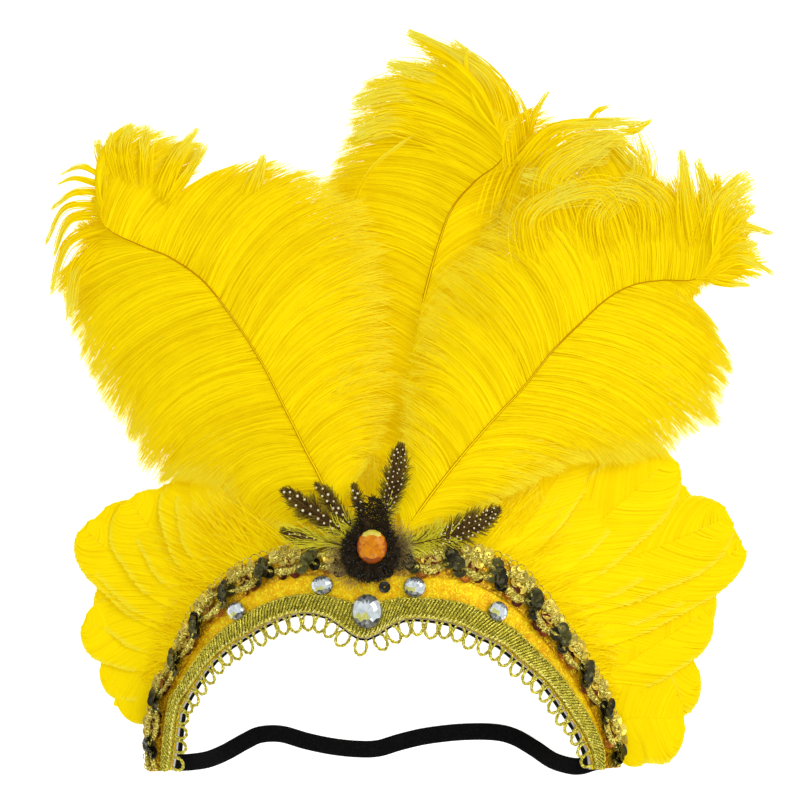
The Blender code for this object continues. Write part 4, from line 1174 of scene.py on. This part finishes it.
def bead(middle, radius, tint, flat=1.0):
    """A small round bead as two cones of quads over a ring, with its top closed."""
    turn = np.linspace(0, 2 * math.pi, BEAD_SIDES, endpoint=False)
    ring = np.stack([np.cos(turn), np.sin(turn), np.zeros(BEAD_SIDES)], -1)
    lift = np.array([0, 0, 0.9 * flat])
    points = middle + radius * np.concatenate([ring * 0.35 - lift, ring, ring * 0.35 + lift])
    top = 2 * BEAD_SIDES + np.array([[0, 1, 2, 3], [0, 3, 4, 5]])
    return points, np.concatenate([ring_faces(3, BEAD_SIDES), top]), np.broadcast_to(tint, points.shape)


def guinea_frame(tip_x, tip_y, tip_z):
    """The root and tip of a spotted feather, and the way across it."""
    hub = band_seat(ROSETTE_X, ROSETTE_Y)[0] + np.array([0, 0, GUINEA_SEAT])
    run = unit(np.array([tip_x - hub[0], tip_y - hub[1], 0.0]))
    return hub + run * GUINEA_ROOT, np.array([tip_x, tip_y, tip_z]), np.array([run[1], -run[0], 0.0])


def make_guinea_feathers():
    s = along_strands(GUINEA_STEPS)
    for i, (name, tip_x, tip_y, width, tip_z, downy, bow, barb) in enumerate(GUINEA_FEATHERS):
        rng = np.random.default_rng(GUINEA_SEED + i)
        root, tip, way = guinea_frame(tip_x, tip_y, tip_z)
        length = np.linalg.norm(tip - root)
        large, streaky = i < 3, barb > 10

        def point(u, across):
            half = width / 2 * np.interp(u, *GUINEA_OUTLINE.T)
            aside = (half * across + bow * 4 * u * (1 - u))[..., None]
            spot = root + (tip - root) * u[..., None] + way * aside
            spot[..., 2] = root[2] + (tip[2] - root[2]) * u * u
            return spot

        parts, downy_parts, spots = [], [], []
        for side in (-1, 1):
            n = int((5 if streaky else 11) * length)
            u = rng.uniform(0, 0.97, n)
            ahead = barb / length * rng.uniform(0.6, 1.3, (n, 1))
            tuft = ripple(u * length, 2.6, rng)[:, None]
            reach = side * s * (rng.uniform(0.6, 1.15, (n, 1)) + 0.34 * tuft)
            lines = point(np.minimum(u[:, None] + ahead * (1 + 0.6 * tuft) * s, 1.0), reach)
            lines[..., :2] += rng.normal(0, 0.8, (n, 1, 2)) * (s ** 2)[..., None]
            lines[..., 2] += rng.uniform(-0.25, 0.45, (n, 1))
            widths = (0.5 - 0.3 * s) * rng.uniform(0.8, 1.2, (n, 1))
            is_down = rng.uniform(0, 1, n) < np.clip((downy - u) * 4, 0, 0.85)
            draws = rng.uniform(0, 1, n)
            up = tilted_up(n, 0.4, rng)
            loose = rng.normal(0, 2.2, (is_down.sum(), 1, 3)) * (s ** 1.5)[..., None]
            lines[is_down] += loose * np.array([1, 1, 0.4])
            for kept, into in ((~is_down, parts), (is_down, downy_parts)):
                into.append(ribbons(lines[kept], widths[kept], up[kept], draws[kept], draws[kept]))
        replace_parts(new_piece(name + "_vane", joined(parts), guinea_finish), name)
        new_piece(name + "_down", joined(downy_parts), down_finish)
        shaft = point(np.linspace(0, 0.95, 12), np.zeros(12)) + np.array([0, 0, 0.55])
        shaft = tube(shaft, np.linspace(0.35, 0.1, 12), 5)
        new_piece(name + "_shaft", shaft, guinea_finish, smooth=True)
        lanes = (-0.4, 0.4) if large else (0.0,) if streaky else (-0.62, -0.22, 0.22, 0.62)
        spacing = 4.2 if large else 3.1
        for k, lane in enumerate(lanes):
            at = np.arange(0.2, 1.0, spacing / length) + (k % 2) * 0.5 * spacing / length
            at = at[(at > downy * 0.8) & (at < 0.97)]
            middle = point(at, np.full(len(at), lane))
            middle[:, :2] += rng.normal(0, 0.3, (len(at), 2))
            middle[:, 2] += 0.75
            for spot in middle:
                size = rng.uniform(0.55, 0.85) if large else rng.uniform(0.4, 0.58)
                draw = rng.uniform(0, 1)
                spots.append(bead(spot, size, (draw, 0.5, draw), 0.3))
        new_piece(name + "_spots", joined(spots), spot_finish, smooth=True)


def rosette_reach(turn):
    off = np.arctan2(np.sin(turn - ROSETTE_PEAK_TURN), np.cos(turn - ROSETTE_PEAK_TURN))
    return ROSETTE_RADIUS + ROSETTE_PEAK * np.exp(-((off / ROSETTE_PEAK_SPREAD) ** 2))


def make_rosette():
    rng = np.random.default_rng(ROSETTE_SEED)
    base, face = band_seat(ROSETTE_X, ROSETTE_Y)

    def round_it(radius, swirl, height):
        flat = np.stack([radius * np.cos(swirl), radius * np.sin(swirl), np.zeros_like(radius)], -1)
        return base + flat + face * height[..., None]

    n = PILE_COUNT
    turn = rng.uniform(0, 2 * math.pi, n)
    start = rng.uniform(0.25, 0.92, n)
    s = along_strands(PILE_STEPS)
    radius = (start * rosette_reach(turn))[:, None] + rng.uniform(1.2, 3.2, (n, 1)) * s
    swirl = turn[:, None] + rng.normal(0, 0.16, (n, 1)) * s
    dome = 0.55 + 0.5 * np.sin(math.pi * (0.25 + 0.65 * s))
    height = ROSETTE_BASE + ROSETTE_RISE * (1 - (start ** 4)[:, None] * 0.75) * dome
    lobes = 0.9 * np.cos(11 * swirl) * np.clip(radius / 9, 0, 1)
    lines = round_it(radius, swirl, height + lobes + rng.uniform(-0.4, 0.6, (n, 1)))
    pile = random_ribbons(lines, 0.55 - 0.35 * s, (0.7, 1.3), 0.9, rng)
    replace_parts(new_piece("rosette_pile", pile, pile_finish), "rosette")

    beads = []
    for _ in range(BEAD_COUNT):
        a = rng.uniform(0, 2 * math.pi)
        r = rosette_reach(np.array([a]))[0] * math.sqrt(rng.uniform(0.25, 0.95))
        lift = ROSETTE_BASE + ROSETTE_RISE * (1.12 - 0.45 * (r / 16) ** 3)
        middle = base + np.array([r * math.cos(a), r * math.sin(a), 0])
        middle = middle + face * max(lift, ROSETTE_BASE + 0.8)
        shade = rng.uniform(0.006, 0.03)
        tint = [shade * rng.uniform(*span) for span in ((0.8, 1.4), (0.8, 1.3), (0.6, 1.1))]
        beads.append(bead(middle, rng.uniform(0.45, 0.75), tint))
    new_piece("rosette_beads", joined(beads), bead_finish, smooth=True)

    n = FLUFF_COUNT
    turn = np.where(rng.uniform(0, 1, n) < 0.35, rng.normal(3.6, 0.4, n), rng.normal(0.2, 0.42, n))
    s = along_strands(FLUFF_STEPS)
    radius = 11.0 + rng.uniform(4, 13, (n, 1)) * s
    swirl = turn[:, None] + rng.normal(0, 0.25, (n, 1)) * s ** 1.5
    height = ROSETTE_BASE + rng.uniform(0.0, 2.5, (n, 1)) - rng.uniform(0.0, 1.2, (n, 1)) * s
    lines = round_it(radius, swirl, np.maximum(height, 5.9))
    fluff = random_ribbons(lines, 0.2 - 0.12 * s, (0.7, 1.3), 0.6, rng)
    new_piece("rosette_fluff", fluff, fluff_finish)


# Stones

def cut_stone(name, x, y, half_x, half_y, rise, turned, seat, tint_of, finish, slot):
    """A domed, facetted stone. tint_of gives each facet its colour from its place on the stone, painted
    reflections, highlight and shade included.
    """
    rng = np.random.default_rng(sum(map(ord, name)))
    middle, face = band_seat(x, y)
    up = np.array([0.0, 1.0, 0.0])
    right = np.cross(up, face)
    sides = 16
    rings = []
    for width, height, offset in STONE_RINGS:
        turn = 2 * math.pi * (np.arange(sides) + offset) / sides
        wide, tall = np.cos(turn) * half_x * width, np.sin(turn) * half_y * width
        rings.append(np.stack([wide, tall, np.full(sides, rise * height)], -1))
    corners = []
    for low, high, (_, _, offset) in zip(rings, rings[1:], STONE_RINGS):
        for k in range(sides):
            a, b, c = low[k], low[(k + 1) % sides], high[k]
            d = high[(k + (1 if offset else -1)) % sides]
            corners += [(a, b, d), (a, d, c)] if offset else [(a, b, c), (a, c, d)]
    top, heart = rings[-1], np.array([0, 0, rise])
    corners += [(top[k], top[(k + 1) % sides], heart) for k in range(sides)]
    corners = np.array(corners)
    flat = corners.mean(axis=1) / np.array([half_x, half_y, rise])
    cosine, sine = math.cos(math.radians(turned)), math.sin(math.radians(turned))
    seen = np.stack([flat[:, 0] * cosine + flat[:, 1] * sine, flat[:, 1] * cosine - flat[:, 0] * sine], -1)
    tints = np.repeat([tint_of(px, py, rng) for px, py in seen], 3, axis=0)
    points = middle + right * corners[..., 0:1] + up * corners[..., 1:2] + face * (seat + corners[..., 2:3])
    shape = points.reshape(-1, 3), np.arange(len(tints)).reshape(-1, 3), tints
    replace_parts(new_piece(name + "_cut", shape, finish), name)


def clear_stone_painted_reflections(px, py, rng):
    """Painted reflections in foil seen through clear glass: dark arcs above and below, a bright band and a
    green-yellow glint.
    """
    # Each facet also gets a painted glint of random brightness
    sparkle = rng.uniform(-0.08, 0.08)
    if py > 0.55:
        return np.array([0.12, 0.13, 0.13]) + sparkle
    if py < -0.45:
        return np.array([0.12, 0.12, 0.1]) + sparkle * 1.5
    if py < -0.1 and -0.75 < px < 0.1:
        return np.array([0.55, 0.56, 0.12]) + sparkle
    if abs(px) > 0.88:
        return np.array([0.2, 0.2, 0.14]) + sparkle
    return np.array([0.56, 0.62, 0.64]) + sparkle * 1.6


def amber_color_and_painted_light(px, py, rng):
    # The amber's own orange on the middle facets; a painted highlight on the top facets and painted shade on
    # the lower and side facets; all but the side facets get a painted glint of random brightness
    sparkle = rng.uniform(-0.06, 0.06)
    if py > 0.68:
        return np.array([0.6, 0.5, 0.06]) + sparkle
    if py < -0.62:
        return np.array([0.26, 0.05, 0.0]) + sparkle * np.array([0.6, 0.1, 0])
    if abs(px) > 0.8:
        return np.array([0.34, 0.07, 0.0])
    return np.array([0.56, 0.18, 0.0]) + sparkle * np.array([1.6, 0.9, 0])


def make_stones():
    for row in STONES:
        cut_stone(*row, STONE_SEAT, clear_stone_painted_reflections, stone_finish, "clear_stone")
    amber = ("amber_stone", AMBER_X, AMBER_Y, AMBER_HALF_X, AMBER_HALF_Y, AMBER_RISE, 0)
    cut_stone(*amber, AMBER_SEAT, amber_color_and_painted_light, amber_finish, "amber")


# Trim of sequins and waves of gold thread

def cloth_strip(name, part_of, first, last, top, finish):
    """The closed ground of a braid, with its borders turned down to the cover."""
    stations = evenly(part_of, 0.5, 3.0)
    stations = np.concatenate([stations[:1], stations, stations[-1:]])[:, None]
    parts = np.concatenate([[first], np.linspace(first, last, 5), [last]])[None, :]
    height = np.full((stations.size, parts.size), top)
    height[[0, -1], :] = COVER_TOP
    height[:, [0, -1]] = COVER_TOP
    new_piece(name, grid_shape(band_point(stations, part_of(stations, parts), height)), finish)


def round_line(middle, along, across, turn, radius):
    return middle + along * (np.cos(turn) * radius)[:, None] + across * (np.sin(turn) * radius)[:, None]


def sequin(middle, along, across, face, radius, tint):
    """A cupped disc with a hole, as three rings of points."""
    turn = np.linspace(0, 2 * math.pi, SEQUIN_TURNS, endpoint=False)
    points = np.concatenate([
        round_line(middle, along, across, turn, radius * part) + face * height * radius * 0.6
        for part, height in SEQUIN_RINGS
    ])
    return points, ring_faces(len(SEQUIN_RINGS), SEQUIN_TURNS), np.broadcast_to(tint, points.shape)


def tilted_axes(station, part, lean_along, lean_across):
    run, across, face = band_axes(station, part)
    normal = unit(face + run * lean_along + across * lean_across)
    first = unit(run - normal * (run * normal).sum())
    return first, np.cross(normal, first), normal


def wavy_strip(stations, run, phase, rng):
    """A humped strip of glitter thread that winds along the trim."""
    wave = np.sin(math.pi * run / TRIM_CELL + phase)[:, None]
    offsets = np.linspace(-1, 1, 7)[None, :]
    low = trim_part(stations, 0.0)[:, None]
    width = trim_part(stations, 1.0)[:, None] - low
    parts_of = low + width * (0.52 + 0.27 * wave + offsets * (0.05 + 0.1 * np.abs(wave)))
    height = TAPE_TOP + 0.6 + 1.7 * (1 - offsets ** 2) + rng.uniform(-0.35, 0.45, parts_of.shape)
    grid = band_point(stations[:, None], parts_of + rng.uniform(-0.01, 0.01, parts_of.shape), height)
    return grid_shape(grid, 0.5)


def make_sequins():
    rng = np.random.default_rng(SEQUIN_SEED)
    fine = evenly(trim_part, 0.5, TRIM_STEP, 0.1, BAND_END - 0.1)
    run = np.arange(len(fine)) * TRIM_STEP
    cells = np.interp(np.arange(0.5, run[-1] / TRIM_CELL) * TRIM_CELL, run, fine)
    sequins = []
    for start, length in zip(cells, np.gradient(cells)):
        mirror = 1 if start < BAND_END / 2 else -1
        for way, part, height, palette in TRIM_PATTERN:
            station = np.clip(start + mirror * length * (way + rng.uniform(-0.02, 0.02)), 0.1, BAND_END - 0.1)
            across_part = float(trim_part(station, part + rng.uniform(-0.05, 0.05)))
            middle = band_point(station, across_part, TAPE_TOP + height + rng.uniform(0, 0.3))
            axes = tilted_axes(station, across_part, rng.normal(-0.15, 0.2), rng.normal(0.12, 0.2))
            tint = np.array(palette[rng.integers(3)]) * rng.uniform(0.75, 1.25)
            radius = rng.uniform(2.7, 3.3) * (DARK_SEQUIN_SCALE if palette is DARK_SEQUIN else 1.0)
            sequins.append(sequin(middle, *axes, radius, tint))
    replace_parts(new_piece("sequin_discs", joined(sequins), sequin_finish), "sequin_trim")

    waves = joined([wavy_strip(fine, run, turns * math.pi, rng) for turns in (0.5, 1.5)])
    new_piece("gold_waves", waves, wave_finish)
    cloth_strip("trim_tape", trim_part, 0.02, 0.98, TAPE_TOP, shaded_brocade_finish)

    rings = []
    for station in evenly(trim_part, 1.0, 5.0, 0.5, BAND_END - 0.5):
        radius = rng.uniform(1.9, 2.7) * (1 - 0.4 * toward_ends(station))
        part = trim_part(station, 0.99 - 0.12 * toward_ends(station))
        middle = band_point(station, part, TAPE_TOP + 1.0)
        along, across, _ = tilted_axes(station, TRIM_END, 0.0, rng.normal(0, 0.2))
        line = round_line(middle, along, across, np.linspace(0, 2 * math.pi, RING_POINTS), radius)
        rings.append(tube(line, RING_WIRE, 5))
    new_piece("edge_rings", joined(rings), wave_finish, smooth=True)


# Ribbed braid with wire loops

def make_ribs(rng):
    ribs = []
    stations = evenly(braid_part, 0.5, RIB_SPACING)
    across = np.linspace(0.08, 1.0, len(RIB_SWELLING))
    for station, step in zip(stations, np.gradient(stations)):
        slant = np.clip(station + step * rng.uniform(2.6, 3.4) * (across - 0.5), 0, BAND_END)
        height = TAPE_TOP - 0.35 + 0.75 * np.sin(math.pi * np.clip(across, 0.04, 0.96)) ** 0.5
        line = band_point(slant, braid_part(slant, across), height + rng.uniform(-0.12, 0.12))
        ribs.append(tube(line, RIB_RADIUS * RIB_SWELLING, 6))
    # Cords along the braid's borders, the lower one twisted of two
    for at, phase in ((0.07, 0.0), (0.07, math.pi), (0.97, 0.0)):
        fine = evenly(braid_part, at, CORD_STEP)
        twist = 2 * math.pi * (np.arange(len(fine)) * CORD_STEP) / CORD_PITCH + phase
        part = braid_part(fine, at) + 0.012 * np.cos(twist)
        ribs.append(tube(band_point(fine, part, TAPE_TOP + 0.35 + 0.35 * np.sin(twist)), CORD_RADIUS, 5))
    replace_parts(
        new_piece("braid_ribs", joined(ribs), braid_finish, smooth=True), "loop_braid"
    )


def make_loops(rng):
    """Twisted wire loops that hang from the braid's lower edge."""
    wires = []
    cells = evenly(braid_part, 0.0, 1.0, *LOOP_STATIONS)
    marks = cells[np.round(np.linspace(0, len(cells) - 1, LOOP_COUNT + 1)).astype(int)]
    turn = np.linspace(-LOOP_OVERTURN, math.pi + LOOP_OVERTURN, LOOP_POINTS)
    for middle in (marks[:-1] + marks[1:]) / 2:
        run, across, face = band_axes(middle, 0.0)
        root = band_point(middle, 0.0, TAPE_TOP - 0.55)
        length = LOOP_LENGTH * rng.uniform(0.92, 1.06)
        half = LOOP_HALF * rng.uniform(0.95, 1.08)
        side = -half * np.cos(turn)
        reach = length * (0.5 + 0.5 * np.sin(turn))
        core = root + run * side[:, None] - across * reach[:, None]
        outward = run * (-length / 2 * np.cos(turn))[:, None] - across * (half * np.sin(turn))[:, None]
        outward = unit(outward)
        for phase in (0.0, math.pi):
            twist = np.linspace(0, 6 * math.pi, LOOP_POINTS) + phase
            wires.append(tube(round_line(core, outward, face, twist, LOOP_TWIST), LOOP_WIRE, 6))
    return joined(wires)


def make_braid():
    rng = np.random.default_rng(BRAID_SEED)
    make_ribs(rng)
    cloth_strip("braid_ground", braid_part, 0.06, 0.98, TAPE_TOP - 0.45, braid_finish)
    loops = make_loops(rng)
    stitches = []
    for station in evenly(braid_part, 0.07, 2.3, 0.1, BAND_END - 0.1):
        slant = station + 0.045 * np.linspace(-1, 1, 6)
        across = 0.1 + 0.085 * np.linspace(-1, 1, 6)
        height = TAPE_TOP + 0.75 + 0.25 * np.sin(math.pi * np.linspace(0, 1, 6))
        line = band_point(np.clip(slant, 0, BAND_END), braid_part(slant, across), height)
        stitches.append(tube(line, STITCH_RADIUS * STITCH_SWELLING, 5))
    new_piece("edge_stitches", joined(stitches), stitch_finish, smooth=True)
    new_piece("wire_loops", loops, braid_finish, smooth=True)
    along, across, face = tilted_axes(*LOOSE_SEQUIN, 0.1, -0.1)
    middle = band_point(*LOOSE_SEQUIN, 3.6) + face * 0.4
    disc = sequin(middle, along, across, face, 3.0, LOOSE_SEQUIN_TINT)
    new_piece("loose_sequin", disc, sequin_finish)


def make_felt_edge():
    """The felt lining's edge, which shows under the loops and more so toward the band's ends."""
    stations = evenly(braid_part, 0.0, 2.0, 0.15, BAND_END - 0.15)
    start = band_point(stations, 0.03, -0.7)
    _, across, _ = band_axes(stations, 0.03)
    reach = (1.4 + 2.6 * toward_ends(stations) ** 1.5)[:, None]
    grid = np.stack([start, start - across * reach * 0.5, start - across * reach], 1)
    new_piece("felt_edge", grid_shape(grid), felt_finish, smooth=True)


def make_strap():
    line = spline(STRAP_ROUTE, np.linspace(0, len(STRAP_ROUTE) - 1, STRAP_POINTS))
    run = unit(np.gradient(line, axis=0))
    way = unit(np.stack([-run[:, 1], run[:, 0], np.zeros(len(run))], -1))
    face = unit(np.cross(run, way))
    across = np.linspace(-1, 1, STRAP_COLUMNS)
    rib = STRAP_RIB * np.cos(across * math.pi * 10) + STRAP_HALF_THICK * (1 - np.abs(across) ** 8)
    sides = line[:, None, :] + way[:, None, :] * (across * STRAP_WIDTH / 2)[None, :, None]
    top = sides + face[:, None, :] * rib[None, :, None]
    bottom = sides[:, ::-1] - face[:, None, :] * rib[None, ::-1, None]
    points = np.concatenate([top, bottom], axis=1).reshape(-1, 3)
    ribbon = points, ring_faces(STRAP_POINTS, 2 * STRAP_COLUMNS), None
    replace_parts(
        new_piece("elastic_ribbon", ribbon, elastic_finish, smooth=True), "elastic_strap"
    )


def paint_node(name, material):
    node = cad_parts[name]
    node.data.materials.clear()
    node.data.materials.append(material)


# Camera, floor and light

def make_stage():
    scene = bpy.context.scene
    scene.view_settings.view_transform = "Standard"
    lens = bpy.data.cameras.new("camera")
    lens.sensor_width = SENSOR_WIDTH
    lens.lens = SENSOR_WIDTH * (CAMERA_HEIGHT - CAMERA_FOCUS_HEIGHT) / FRAME_WIDTH
    lens.clip_end = 20.0
    scene.camera = put("camera", lens, Vector(place((*FRAME_CENTER, CAMERA_HEIGHT))))

    mesh = bpy.data.meshes.new("floor")
    half = FLOOR_HALF
    corners = [(-half, -half, 0), (half, -half, 0), (half, half, 0), (-half, half, 0)]
    mesh.from_pydata(corners, [], [(0, 1, 2, 3)])
    made, tree, shader = new_material("pale_floor")
    set_inputs(
        tree, shader, Base_Color=(0.93, 0.93, 0.93, 1), Roughness=0.9, Specular_IOR_Level=0.1,
        Emission_Color=(1, 1, 1, 1), Emission_Strength=0.7,
    )
    mesh.materials.append(made)
    floor = put("floor", mesh, (0, 0, FLOOR_Z))

    world = bpy.data.worlds.new("studio")
    world.use_nodes = True
    feed_first(world.node_tree, world.node_tree.nodes["Background"], (1, 1, 1, 1), 0.75)
    scene.world = world
    for name, size, power, spot in LIGHTS:
        data = bpy.data.lights.new(name, "AREA")
        data.shape = "DISK"
        data.size = size
        data.energy = power
        light = put(name, data, spot)
        light.rotation_euler = (-Vector(spot)).to_track_quat("-Z", "Y").to_euler()


make_stage()
make_plumes()
make_side_feathers()
make_root_web()
make_root_down()
make_guinea_feathers()
make_rosette()
make_stones()
make_sequins()
make_braid()
make_felt_edge()
make_strap()
paint_node("band_lining", felt_finish)
paint_node("band_core", core_finish)
paint_node("band_cover", brocade_finish)
